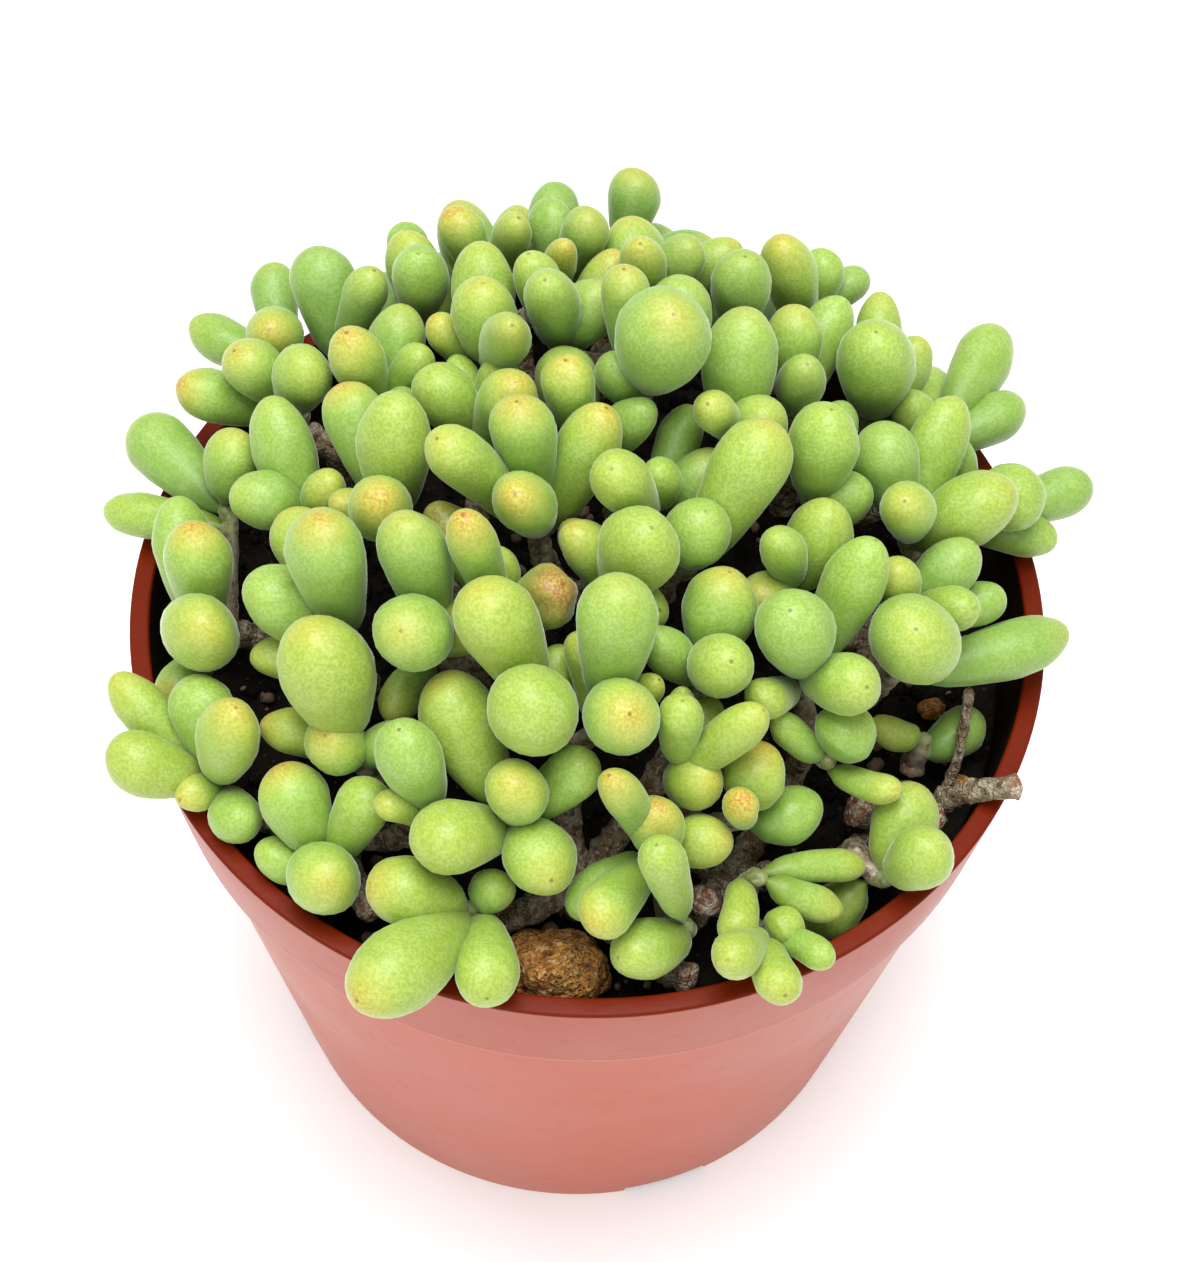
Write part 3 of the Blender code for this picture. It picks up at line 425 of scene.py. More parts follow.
soilShape = {
    "depth": 15.0, "roughness": 1.0, "gap": 0.3, "sides": 150, "ringStep": 1.6,
    "crumbHeight": 0.7, "crumbSize": 1.6,
    "dark": (0.006, 0.005, 0.004), "light": (0.017, 0.012, 0.009),
    "fleck": (0.11, 0.08, 0.05, 0.35), "crumb": (0.30, 0.21, 0.14, 1), "relief": 0.5,
    "patch": 9.0,                    # how wide the rises and hollows are
}
crumbShape = {
    "count": 1500, "smallest": 0.5, "largest": 1.9, "lightShare": 0.14, "seed": 5,
}
stoneShape = {
    "size": (16.0, 11.0, 10.0), "place": (-2.4, -57.0), "rest": 0.36,
    "brown": (0.66, 0.240, 0.052), "ochre": (0.84, 0.40, 0.090),
    "pale": (0.86, 0.58, 0.25, 0.55), "pore": (0.150, 0.055, 0.016, 0.30),
    "pit": (0.150, 0.055, 0.016, 0.60), "relief": 0.40,
    "lumps": 0.22, "knobs": (0.13, 0.06), "grit": (0.05, 0.03),    # width and height, in sizes
}
pebbles = ((-49, -6, 4.2), (-46, -27, 4.0), (54, -9, 4.4), (58, -22, 3.4), (31, -52, 3.4))
soilTop = potShape["height"] - soilShape["depth"]


def soilLift(x, y):
    fromStone = math.hypot(x - stoneShape["place"][0], y - stoneShape["place"][1])
    clear = clamp(fromStone / stoneShape["size"][0] - 1)
    return soilShape["roughness"] * clear * noise.noise(Vector((x, y, 0)) / soilShape["patch"])


def makeSoilFinish():
    finish, tree, shader, place = startFinish("soilMix", Roughness=0.95, Specular_IOR_Level=0.10)
    clods = mask(tree, mottle, place, Scale=260, Detail=6, Low=0.40, High=0.64)
    grit = mask(tree, speckle, place, Scale=700, Size=0.16, Edge=0.10)
    colour = mixColours(tree, clods, soilShape["dark"], soilShape["light"])
    colour = paint(tree, colour, soilShape, fleck=grit, crumb=attribute(tree, "tone"))
    endFinish(tree, shader, colour, fineNoise(tree, place, 1100.0, 6.0), soilShape["relief"])
    return finish


def makeSoil(finish):
    edge = innerRadius(soilTop) - soilShape["gap"]
    rings = int(edge / soilShape["ringStep"])
    bottom = potShape["floor"] + soilShape["gap"]
    outline = [(edge * ring / rings, soilTop) for ring in range(rings + 1)]
    outline += [(innerRadius(stepHeight) - soilShape["gap"], stepHeight),
                (innerRadius(bottom) - soilShape["gap"], bottom), (0, bottom)]
    bm = spinOutline(outline, soilShape["sides"])
    for corner in bm.verts:
        x, y, z = corner.co
        if z > soilTop - 0.01 and math.hypot(x, y) < edge - 0.5:
            flat = Vector((x, y, 0))
            crumbs = bump(flat, soilShape["crumbSize"], soilShape["crumbHeight"])
            corner.co.z += soilLift(x, y) + crumbs
    bm.verts.layers.float.new("tone")
    return dressNode(bm, "soilBed", "soil", finish, "soil")


def makeCrumbs(finish):
    # loose crumbs of soil and grit on the surface
    draw = random.Random(crumbShape["seed"])
    bm = bmesh.new()
    tone = bm.verts.layers.float.new("tone")
    reach = innerRadius(soilTop) - crumbShape["largest"] - soilShape["gap"]
    for number in range(crumbShape["count"]):
        size = draw.uniform(crumbShape["smallest"], crumbShape["largest"]) * draw.uniform(0.5, 1)
        turn, out = draw.uniform(0, math.tau), reach * math.sqrt(draw.random())
        x, y = out * math.cos(turn), out * math.sin(turn)
        light = draw.uniform(0.4, 1.0) if draw.random() < crumbShape["lightShare"] else 0.0
        made = bmesh.ops.create_icosphere(bm, subdivisions=1, radius=size)["verts"]
        stretch = Vector([draw.uniform(0.6, 1.1) for _ in range(3)])
        spin = Matrix.Rotation(draw.uniform(0, math.tau), 3, (draw.random(), draw.random(), 1))
        for corner in made:
            lumpy = corner.co * stretch * (1 + bump(corner.co, size, 0.5, number))
            corner.co = spin @ lumpy + Vector((x, y, soilTop + soilLift(x, y) + 0.3 * size))
            corner[tone] = light
    return dressNode(bm, "soilCrumbs", "soil", finish)


def makeStoneFinish():
    finish, tree, shader, place = startFinish("pumice", Roughness=0.93, Specular_IOR_Level=0.2)
    patches = mask(tree, mottle, place, Scale=160, Detail=6, Low=0.40, High=0.60)
    grain = mask(tree, mottle, place, Scale=1100, Detail=6, Low=0.44, High=0.58)
    pits = mask(tree, mottle, place, Scale=620, Detail=6, Low=0.56, High=0.64)
    pores = mask(tree, speckle, place, Scale=1500, Size=0.45, Edge=0.25)
    colour = mixColours(tree, patches, stoneShape["brown"], stoneShape["ochre"])
    colour = paint(tree, colour, stoneShape, pale=grain, pore=pores, pit=pits)
    height = calculate(tree, "SUBTRACT", grain, calculate(tree, "ADD", pits, pores))
    endFinish(tree, shader, colour, height, stoneShape["relief"])
    return finish


def makeStone(node, size, x, y, seed, finish):
    big = size[0] > 8                # the pumice stone, not a pebble
    bm = bmesh.new()
    bmesh.ops.create_icosphere(bm, subdivisions=6 if big else 4, radius=0.5)
    rest = -stoneShape["rest"]
    for corner in bm.verts:
        corner.co *= 1 + stoneShape["lumps"] * noise.noise(corner.co * 3 + Vector((seed, 0, 0)))
        corner.co *= 1 + sum(bump(corner.co, *stoneShape[name], seed) for name in ("knobs", "grit"))
        corner.co.z = max(corner.co.z, rest)
    bmesh.ops.scale(bm, vec=size, verts=bm.verts)
    ground = soilTop + (0.0 if big else 0.6 * soilShape["roughness"])
    bmesh.ops.translate(bm, vec=(x, y, ground + soilShape["gap"] - rest * size[2]), verts=bm.verts)
    return dressNode(bm, node + "Stone", "stone", finish, node)


soilFinish = makeSoilFinish()
makeSoil(soilFinish)
makeCrumbs(soilFinish)
stoneFinish = makeStoneFinish()
makeStone("pumice_stone", stoneShape["size"], *stoneShape["place"], 3, stoneFinish)
for number, (x, y, size) in enumerate(pebbles, start=1):
    makeStone(f"pebble_{number}", (size, 0.8 * size, 0.8 * size), x, y, 9 + number, stoneFinish)
print("soil and stones done")


# Planting plan, the same as the solids follow. A clump has the foot of its woody stem, the
# height of its fork above the soil, bare stubs (knee, end, radius) and shoots. A shoot holds one
# or two rosettes, each (x, y, depth below the mound's outline, leaves), and a leaf is
# (x, y, height over the outline, thickness) at the middle of its thick end.
clumpPlan = {
    "back_left": {"foot": (-41, 31), "fork": 9, "stubs": (), "shoots": (
        ((-50, 41, 13, ((-63, 47, 0, 8.0), (-53, 53, 0, 7.5), (-51, 36, -3, 8.5))),
         (-48, 27, 15, ((-61, 26, 0, 8.5), (-53, 26, 0, 8.7), (-44, 19, 0, 8.6)))),
        ((-41, 36, 16, ((-44, 43, 1, 10), (-36, 39, -2, 6.5))),
         (-29, 39, 14, ((-28, 36, 0, 8.4), (-29, 43, -2, 8.5), (-30, 49, -1, 6.5),
             (-36, 54, -13, 8.0), (-25, 58, -14, 8.5)))),
        ((-33, 21, 15, ((-36, 20, 0, 8.2), (-29, 24, -1, 8.7), (-27, 17, -2, 5.5),
             (-29, 11, -3, 4.5))),),
    )},
    "left": {"foot": (-44, 2), "fork": 6, "stubs": (), "shoots": (
        ((-55, 6, 12, ((-68, 20, 0, 10.0), (-72, 10, -1, 7.2), (-54, 10, -2, 8.0))),
         (-57, -13, 12, ((-58, -6, 0, 9.8), (-55, -19, 1, 10.8), (-60, -23, -3, 7.0),
             (-61, 0, 0, 8.6)))),
        ((-42, 1, 14, ((-47, 10, 0, 9.2), (-48, -2, 0, 8.7), (-38, -2, -3, 6.0))),),
        ((-34, -20, 13, ((-43, -16, 0, 10.6), (-36, -12, 0, 11.0), (-45, -23, -4, 6.5),
             (-42, -8, -2, 9.0))),),
    )},
    "front_left": {"foot": (-36, -37), "fork": 5, "stubs": (
        ((-33, -46, -9), (-29, -53, -5), 2.1),
    ), "shoots": (
        ((-52, -36, 7, ((-58, -27, 0, 9.3), (-50, -33, 2, 8.8), (-68, -28, 5, 7.2),
             (-63, -37, 8, 9.2), (-55, -42, 4, 5.0), (-50, -46, 1, 7.4))),),
        ((-33, -34, 13, ((-37, -38, -2, 8.6), (-35, -30, 1, 13.0), (-43, -33, -4, 6.8),
             (-26, -36, -4, 6.0))),
         (-20, -45, 10, ((-25, -40, 0, 9.2), (-28, -43, -4, 4.5)))),
        ((-36, -49, 7, ((-35, -53, 2, 10.0), (-45, -52, 4, 6.5), (-40, -44, 1, 9.5),
             (-30, -44, -3, 7.5))),),
    )},
    "crown_left": {"foot": (-21, -3), "fork": 10, "stubs": (), "shoots": (
        ((-29, -1, 16, ((-36, 9, 0, 9.0), (-27, 3, 1, 10.5), (-31, -5, 0, 9.0), (-35, -6, -1, 6.0))),),
        ((-18, 11, 15, ((-23, 9, 0, 9.0), (-21, 14, -2, 5.5), (-16, 12, -1, 6.0),
             (-12, 10, 0, 8.3))),
         (-17, 25, 15, ((-17, 25, 0, 9.3), (-14, 19, 1, 7.0), (-19, 33, 0, 9.3),
             (-23, 22, -1, 5.2)))),
        ((-22, -21, 14, ((-28, -25, 1, 10.5), (-27, -14, 0, 9.6), (-19, -27, 0, 7.5),
             (-26, -32, -5, 6.0))),
         (-12, -19, 13, ((-19, -14, 2, 6.8), (-13, -16, -2, 5.0), (-6, -21, -1, 8.0),
             (-22, -8, -5, 7.0)))),
    )},
    "back": {"foot": (-9, 40), "fork": 10, "stubs": (), "shoots": (
        ((-19, 48, 16, ((-22, 54, -3, 9.0), (-23, 48, 0, 7.3), (-15, 55, -5, 7.0),
             (-14, 46, 0, 5.8))),
         (-7, 46, 15, ((-8, 56, -1, 8.0), (-8, 48, 0, 7.0), (-3, 45, -1, 7.0), (-5, 38, 0, 5.0)))),
        ((-6, 29, 16, ((-10, 33, 0, 7.0), (-7, 25, 2, 8.0), (-2, 29, -3, 8.5), (0, 37, -2, 7.0))),
         (7, 40, 15, ((4, 43, -2, 9.5), (6, 37, 0, 7.0), (12, 39, 0, 7.0), (18, 43, -2, 7.0)))),
        ((3, 56, 14, ((4, 63, 0, 8.2), (-5, 63, -12, 8.0), (9, 64, -13, 8.4), (15, 58, -11, 8.0),
             (-14, 61, -14, 8.0))),),
    )},
    "crown": {"foot": (5, 6), "fork": 12, "stubs": (), "shoots": (
        ((7, 22, 16, ((5, 30, -1, 7.0), (10, 28, -1, 10.0), (9, 19, 4, 13.0), (2, 15, -4, 7.0))),
         (-1, 10, 15, ((-4, 15, -3, 9.0), (-4, 9, 0, 7.5), (5, 6, 0, 6.6)))),
        ((-7, -5, 14, ((-11, 3, 0, 9.0), (-1, 4, 0, 8.8), (-18, -2, 2, 8.2), (-11, -8, 1, 8.6))),),
        ((9, 0, 15, ((13, 6, -2, 6.3), (9, -4, -1, 6.0), (16, 0, -3, 7.5), (3, -5, 1, 8.2))),
         (14, -10, 13, ((22, 0, 1, 10.5), (16, -12, 0, 9.2), (9, -9, -3, 4.3)))),
        ((3, -14, 14, ((6, -14, 1, 10.7), (-3, -12, -3, 6.0), (-2, -15, -1, 7.3),
             (8, -21, -4, 7.0))),),
    )},
    "back_right": {"foot": (31, 31), "fork": 9, "stubs": (), "shoots": (
        ((21, 35, 15, ((21, 37, 0, 8.8), (24, 50, -9, 8.0), (17, 50, -9, 8.0))),
         (20, 14, 15, ((21, 20, 1, 10.8), (17, 9, -2, 6.0), (23, 8, -2, 8.5)))),
        ((30, 23, 15, ((29, 27, -1, 8.0), (30, 18, 0, 7.2), (35, 34, -2, 8.0))),
         (32, 43, 14, ((28, 46, 0, 8.4), (34, 48, -1, 7.0), (39, 48, -1, 6.0), (36, 57, -12, 8.0),
             (27, 60, -13, 7.5)))),
        ((42, 26, 17, ((41, 26, 1, 11.5), (43, 41, -1, 7.0), (48, 34, -2, 7.0))),
         (53, 25, 13, ((62, 44, 5, 9.0), (64, 34, -1, 8.0), (48, 23, -4, 7.0), (53, 41, -11, 8.0)))),
    )},
    "right": {"foot": (44, 0), "fork": 7, "stubs": (), "shoots": (
        ((58, 13, 12, ((64, 14, -1, 10.0), (74, 21, 4, 8.0), (68, 11, -3, 7.0), (55, 18, -3, 5.0))),
         (47, 4, 13, ((52, 18, 1, 8.6), (41, 7, 0, 9.5), (45, 0, 0, 7.8), (58, 7, 1, 11.0)))),
        ((32, 4, 15, ((32, 7, 0, 9.8), (36, 13, -3, 7.0), (35, -1, -3, 8.0))),
         (29, -10, 14, ((34, -7, 0, 9.4), (27, -9, -3, 6.5), (25, -16, -6, 8.0)))),
        ((46, -9, 12, ((44, -11, 0, 6.8), (53, -12, 1, 6.5), (58, -8, 0, 6.4), (54, -5, -1, 8.0))),
         (46, -19, 11, ((45, -20, 1, 12.5), (67, -11, 2, 8.8)))),
    )},
    "front": {"foot": (0, -45), "fork": 6, "stubs": (
        ((10, -57, -10), (17.5, -60.5, -7), 2.3),
    ), "shoots": (
        ((16, -24, 13, ((18, -21, 1, 10.2), (12, -27, 0, 6.8), (19, -28, 1, 8.6))),),
        ((2, -33, 12, ((4, -24, 2, 10.8), (5, -36, 2, 10.2), (9, -32, -1, 4.3), (-1, -27, -3, 5.0))),
         (-6, -33, 13, ((-12, -26, 1, 11.0), (-4, -28, -5, 5.5), (-7, -37, 2, 12.0)))),
        ((-9, -45, 10, ((-18, -36, 0, 10.6), (-9, -45, 2, 8.5), (-1, -41, -3, 7.0),
             (-19, -50, 0, 10.0), (-6, -53, 0, 10.0))),),
        ((-14, -55, 8, ((-25, -55, 1, 9.8), (-26, -67, 10, 11.5), (-12, -67, 7, 8.6),
             (-12, -56, -1, 6.2))),),
    )},
    "front_right": {"foot": (22, -43), "fork": 6, "stubs": (
        ((20, -46, -6), (18, -51, -1), 2.3),
        ((26, -43, -7), (29, -46, -1), 2.2),
    ), "shoots": (
        ((31, -22, 13, ((28, -23, 1, 10.8), (38, -11, 1, 8.3), (25, -32, 0, 5.8),
             (38, -27, 1, 8.5))),
         (35, -33, 10, ((35, -35, -1, 8.5), (44, -36, -5, 4.5), (28, -34, -2, 4.8)))),
        ((23, -43, 9, ((24, -41, 0, 8.5), (29, -44, 0, 8.5), (22, -45, 1, 4.8))),
         (13, -39, 9, ((23, -35, 0, 6.2), (17, -34, -3, 6.0), (14, -33, -2, 4.3), (12, -35, 0, 6.0),
             (15, -44, 0, 7.8)))),
        ((11, -48, 9, ((11, -47, 0, 7.8), (5, -44, 0, 5.8), (18, -49, 0, 7.4), (2, -56, -2, 7.5),
             (4, -58, 0, 7.5))),
         (16, -56, 8, ((11, -52, 3, 6.3), (9, -62, 1, 8.4)))),
        ((24, -50, 7, ((38, -50, 0, 4.8), (34, -53, 0, 5.4), (24, -59, 1, 5.4))),
         (27, -56, 5, ((22, -65, 7, 6.6), (28, -65, 9, 6.4), (33, -64, 8, 4.5), (28, -57, 1, 6.4)))),
    )},
    "side_right": {"foot": (49, -31), "fork": 5, "stubs": (
        ((54, -31, 1), (64, -33, 5), 1.7),
        ((57, -29, -9), (57, -16, 5), 0.8),
        ((46, -32, -8), (40, -33, -3), 2.6),
        ((51, -32, -7), (52, -35, -2), 2.2),
    ), "shoots": (
        ((42, -41, 9, ((48, -38, -3, 9.4), (50, -45, 3, 8.5), (39, -50, -13, 8.0))),),
        ((50, -23, 21, ((60, -18, -16, 7.2), (45, -21, -20, 5.0))),),
    )},
}
mound = {"top": 38.0, "fall": 34.0, "radius": 72.0, "power": 2.4, "rise": 0.16}
woodShape = {
    "holeDepth": 14.0, "trunkRadius": 3.0, "branchRadius": 2.2, "branchStations": 3,
    "stubStations": 3, "knobs": 0.12, "gap": 0.3, "bend": 0.45, "lowestKnee": 4.0,
}
twigShape = {
    "radius": 2.0, "collar": 2.5, "budLength": 3.0, "seatDrop": 6.0, "pairDrop": 1.4,
    "lowestSeat": 5.5, "upward": 1.5, "budBark": 0.55, "mesh": (16, 22),
}
leafShape = {
    "neckRadius": 1.6, "swell": 1.4, "rootSpread": 4.0, "seed": 11, "cornerReach": 1.07,
    "around": 22, "along": 20,
}
settling = {
    "eye": (0.0, -226.0, 439.0), "layering": 0.4, "mostLayering": 2.5, "steps": 260,
    "stepShare": 0.7, "mostEndMove": 1.5, "mostTipMove": 1.0, "samples": 7, "firstSample": 0.2,
    "kinShare": 0.8, "reach": 14.0, "nearBalls": 60, "clearance": 0.7, "lipSwell": 1.2,
    "lipLift": 0.3, "stretch": (0.75, 1.3), "rootEase": 0.7, "sidePull": 0.25,
    "depthPull": 0.02, "tipPull": 0.05, "tipDrift": 6.0,
}


def moundHeight(x, y):
    across = math.hypot(x, y) / mound["radius"]
    return potShape["height"] + mound["top"] - mound["fall"] * across ** mound["power"] \
        + mound["rise"] * y


def swell(share):
    # how far a leaf has widened from its neck (0) to its thick end (1)
    return 1 - (1 - share) ** leafShape["swell"]


def bentPath(start, knee, end, count):
    shares = [index / count for index in range(count + 1)]
    return [start * (1 - share) ** 2 + knee * 2 * share * (1 - share) + end * share ** 2
            for share in shares]


def planRosette(row, shoot, draw):
    x, y, depth, rows = row
    tip = Vector((x, y, moundHeight(x, y) - depth))
    leaves = [{"end": Vector((leafX, leafY, moundHeight(leafX, leafY) + height)),
               "radius": thickness / 2, "shoot": shoot, "turned": draw.uniform(0, math.tau),
               "planned": (leafX, leafY)}
              for leafX, leafY, height, thickness in rows]
    axis = Vector((0, 0, twigShape["upward"]))
    axis = sum(((leaf["end"] - tip).normalized() for leaf in leaves), axis)
    axis.normalize()
    leaves.sort(key=lambda leaf: (leaf["end"] - tip).normalized().dot(axis))
    for place, leaf in enumerate(leaves):
        share = place / max(1, len(leaves) - 1) - 0.5
        leaf["root"] = tip + axis * (share * leafShape["rootSpread"])
    return {"tip": tip, "axis": axis, "leaves": leaves}


def planShoot(rows, shoot, fork, draw):
    rosettes = [planRosette(row, shoot, draw) for row in rows]
    middle = sum((rosette["tip"] for rosette in rosettes), Vector()) / len(rosettes)
    axis = sum((rosette["axis"] for rosette in rosettes), Vector((0, 0, 1))).normalized()
    lowest = min(rosette["tip"].z for rosette in rosettes)
    drop = twigShape["seatDrop"] * (1 if len(rosettes) == 1 else twigShape["pairDrop"])
    seat = Vector((middle.x, middle.y, lowest)) - axis * drop
    seat.z = max(seat.z, soilTop + twigShape["lowestSeat"])
    knee = seat - axis * woodShape["bend"] * (seat - fork).length
    knee.z = max(knee.z, soilTop + woodShape["lowestKnee"])
    branch = bentPath(fork, knee, seat, woodShape["branchStations"])
    return {"rosettes": rosettes, "seat": seat, "branch": branch,
            "heading": (branch[-1] - branch[-2]).normalized()}


def planClumps():
    draw = random.Random(leafShape["seed"])
    rim = Vector((0, 0, potShape["height"]))
    clumps, shoot = [], 0
    for name, plan in clumpPlan.items():
        x, y = plan["foot"]
        fork = Vector((x, y, soilTop + plan["fork"]))
        shoots = []
        for rows in plan["shoots"]:
            shoots.append(planShoot(rows, shoot, fork, draw))
            shoot += 1
        stubs = [(bentPath(fork, rim + Vector(knee), rim + Vector(end),
                           woodShape["stubStations"]), radius)
                 for knee, end, radius in plan["stubs"]]
        clumps.append({"name": name, "foot": (x, y), "fork": fork, "shoots": shoots,
                       "stubs": stubs})
    return clumps


# Settling: leaves make room for each other just as in the solids

def beads(path, radius):
    chain = []
    for start, end in zip(path, path[1:]):
        steps = max(1, math.ceil((end - start).length / radius))
        chain += [(start.lerp(end, step / steps), radius) for step in range(steps + 1)]
    return chain


def woodAndTwigs(clumps):
    # balls that stand for wood and green twigs: centre, radius, and their shoot (-1 for wood)
    balls = []
    for clump in clumps:
        wood = [((clump["fork"] - Vector((0, 0, 4)), clump["fork"]), woodShape["trunkRadius"])]
        wood += clump["stubs"]
        wood += [(shoot["branch"], woodShape["branchRadius"]) for shoot in clump["shoots"]]
        for path, thickness in wood:
            balls += [(centre, radius, -1)
                      for centre, radius in beads(path, thickness * (1 + woodShape["knobs"]))]
        for shoot in clump["shoots"]:
            for rosette in shoot["rosettes"]:
                number = rosette["leaves"][0]["shoot"]
                path = (shoot["seat"], rosette["tip"] + rosette["axis"] * twigShape["budLength"])
                balls += [(centre, radius, number)
                          for centre, radius in beads(path, twigShape["radius"])]
    return balls


def pushOffPot(points, sizes):
    push = np.zeros_like(points)
    out = np.hypot(points[..., 0], points[..., 1])
    gap = soilShape["gap"]
    low = np.maximum(0, soilTop + soilShape["roughness"] + sizes + gap - points[..., 2])
    low[out > potShape["rimRadius"]] = 0
    push[..., 2] += low
    bead = potShape["lipWidth"] / 2
    ring = potShape["rimRadius"] - bead
    rise = points[..., 2] - (potShape["height"] - bead)
    away = np.hypot(out - ring, rise)
    lip = np.maximum(0, sizes + settling["lipSwell"] * bead + 2 * gap - away)
    outward = lip * (out - ring) / np.maximum(away, 0.01)
    push[..., 2] += lip * np.maximum(settling["lipLift"], rise / np.maximum(away, 0.01))
    inside = (out < ring) & (rise < 0)
    wall = np.where(inside, np.maximum(0, out + sizes + gap - (ring - 3 * bead)), 0)
    outward = np.where(inside, -wall, outward)
    for axis in (0, 1):
        push[..., axis] += outward * points[..., axis] / np.maximum(out, 1)
    return push


def shareOut(push, share):
    # splits a push at a share of the leaf's length between its end and its root
    lever = share ** 2 + settling["rootEase"] * (1 - share) ** 2
    return (push * (share / lever)[:, None],
            push * (settling["rootEase"] * (1 - share) / lever)[:, None])


def leafContacts(points, sizes, pairs, strangers):
    between = points[pairs[0]][:, :, None] - points[pairs[1]][:, None]
    distance = np.linalg.norm(between, axis=3)
    reach = sizes[pairs[0]][:, :, None] + sizes[pairs[1]][:, None] + settling["clearance"]
    overlap = np.where(strangers, reach - distance, -1)
    worst = overlap.reshape(len(overlap), -1).argmax(axis=1)
    row, column = np.divmod(worst, settling["samples"])
    each = np.arange(len(worst))
    return (row, column, np.maximum(0, overlap[each, row, column]), reach[each, row, column],
            between[each, row, column], np.maximum(distance[each, row, column], 0.01))


def settle(rosettes, balls):
    leaves = [leaf for rosette in rosettes for leaf in rosette["leaves"]]
    home = np.array([number for number, rosette in enumerate(rosettes)
                     for _ in rosette["leaves"]])
    plannedTips = np.array([rosette["tip"] for rosette in rosettes])
    plannedEnds = np.array([leaf["end"] for leaf in leaves])
    offsets = np.array([leaf["root"] for leaf in leaves]) - plannedTips[home]
    radii = np.array([leaf["radius"] for leaf in leaves])
    shoots = np.array([leaf["shoot"] for leaf in leaves])
    shares = np.linspace(settling["firstSample"], 1.0, settling["samples"])
    neck = leafShape["neckRadius"]
    sizes = leafShape["cornerReach"] * (neck + (radii[:, None] - neck) * swell(shares))
    lengths = np.linalg.norm(plannedEnds - plannedTips[home] - offsets, axis=1)
    middles = (plannedEnds + plannedTips[home]) / 2
    sight = settling["eye"] - plannedEnds
    sight /= np.linalg.norm(sight, axis=1)[:, None]

    apart = np.linalg.norm(middles[:, None] - middles[None], axis=2)
    near = apart < (lengths[:, None] + lengths[None]) / 2 + settling["reach"]
    pairs = np.nonzero(np.triu(near, 1))
    kin = (shoots[pairs[0]] == shoots[pairs[1]])[:, None, None]
    lowest = settling["kinShare"]
    nearRoot = (shares[:, None] < lowest) | (shares[None, :] < lowest)
    strangers = ~(kin & nearRoot)
    pairSight = sight[pairs[0]] + sight[pairs[1]]
    pairSight /= np.linalg.norm(pairSight, axis=1)[:, None]

    ballAt = np.array([centre for centre, _, _ in balls])
    nearest = np.linalg.norm(middles[:, None] - ballAt[None], axis=2).argsort(axis=1)
    nearest = nearest[:, :settling["nearBalls"]]
    ballSize = np.array([radius for _, radius, _ in balls])[nearest]
    own = np.array([shoot for _, _, shoot in balls])[nearest] == shoots[:, None]
    each = np.arange(len(leaves))

    tips, ends = plannedTips.copy(), plannedEnds.copy()
    for step in range(settling["steps"]):
        fade = 1 - step / settling["steps"]
        roots = tips[home] + offsets
        points = roots[:, None] + (ends - roots)[:, None] * shares[None, :, None]
        endMoves, rootMoves = np.zeros_like(ends), np.zeros_like(ends)

        row, column, overlap, reach, between, distance = leafContacts(
            points, sizes, pairs, strangers)
        depth = (between * pairSight).sum(axis=1)
        sideways = np.maximum(0, distance ** 2 - depth ** 2)
        lacking = np.sqrt(np.maximum(0, reach ** 2 - sideways)) - np.abs(depth)
        layering = np.where(overlap > 0, np.minimum(lacking, settling["mostLayering"]), 0)
        layering *= np.where(depth < 0, -1, 1)
        push = (settling["layering"] * layering[:, None] * pairSight
                + (1 - settling["layering"]) * (overlap / distance)[:, None] * between)
        for leaf, share, side in ((pairs[0], shares[row], 0.5), (pairs[1], shares[column], -0.5)):
            toEnd, toRoot = shareOut(side * push, share)
            np.add.at(endMoves, leaf, toEnd)
            np.add.at(rootMoves, leaf, toRoot)

        fromBall = points[:, :, None] - ballAt[nearest][:, None]
        distance = np.linalg.norm(fromBall, axis=3)
        overlap = sizes[:, :, None] + ballSize[:, None] + settling["clearance"] - distance
        overlap = np.where(own[:, None], -1, overlap)
        row, column = np.divmod(overlap.reshape(len(leaves), -1).argmax(axis=1),
                                settling["nearBalls"])
        push = (np.maximum(0, overlap[each, row, column])
                / np.maximum(distance[each, row, column], 0.01))[:, None]
        toEnd, toRoot = shareOut(push * fromBall[each, row, column], shares[row])
        byPot = pushOffPot(points, sizes) / shares[None, :, None]
        endMoves += toEnd + byPot.max(axis=1, initial=0) + byPot.min(axis=1, initial=0)
        rootMoves += toRoot

        astray = plannedEnds - ends
        along = (astray * sight).sum(axis=1)[:, None] * sight
        most = settling["mostEndMove"]
        ends += np.clip(settling["stepShare"] * endMoves, -most, most)
        ends += fade * (settling["sidePull"] * (astray - along) + settling["depthPull"] * along)
        shift = np.zeros_like(tips)
        np.add.at(shift, home, rootMoves)
        shift /= np.bincount(home)[:, None]
        most = settling["mostTipMove"]
        tips += np.clip(settling["stepShare"] * shift, -most, most)
        tips += fade * settling["tipPull"] * (plannedTips - tips)
        drift = np.linalg.norm(tips - plannedTips, axis=1)[:, None]
        held = np.minimum(1, settling["tipDrift"] / np.maximum(drift, 0.01))
        tips = plannedTips + (tips - plannedTips) * held
        roots = tips[home] + offsets
        length = np.linalg.norm(ends - roots, axis=1)
        shortest, longest = settling["stretch"]
        stretch = np.clip(length, shortest * lengths, longest * lengths) / length
        ends = roots + (ends - roots) * stretch[:, None]

    for rosette, tip in zip(rosettes, tips):
        rosette["tip"] = Vector(tip)
    for leaf, end, root in zip(leaves, ends, roots):
        leaf["end"], leaf["root"] = Vector(end), Vector(root)


clumps = planClumps()
settle([rosette for clump in clumps for shoot in clump["shoots"] for rosette in shoot["rosettes"]],
       woodAndTwigs(clumps))
print("leaves settled")


# Wood

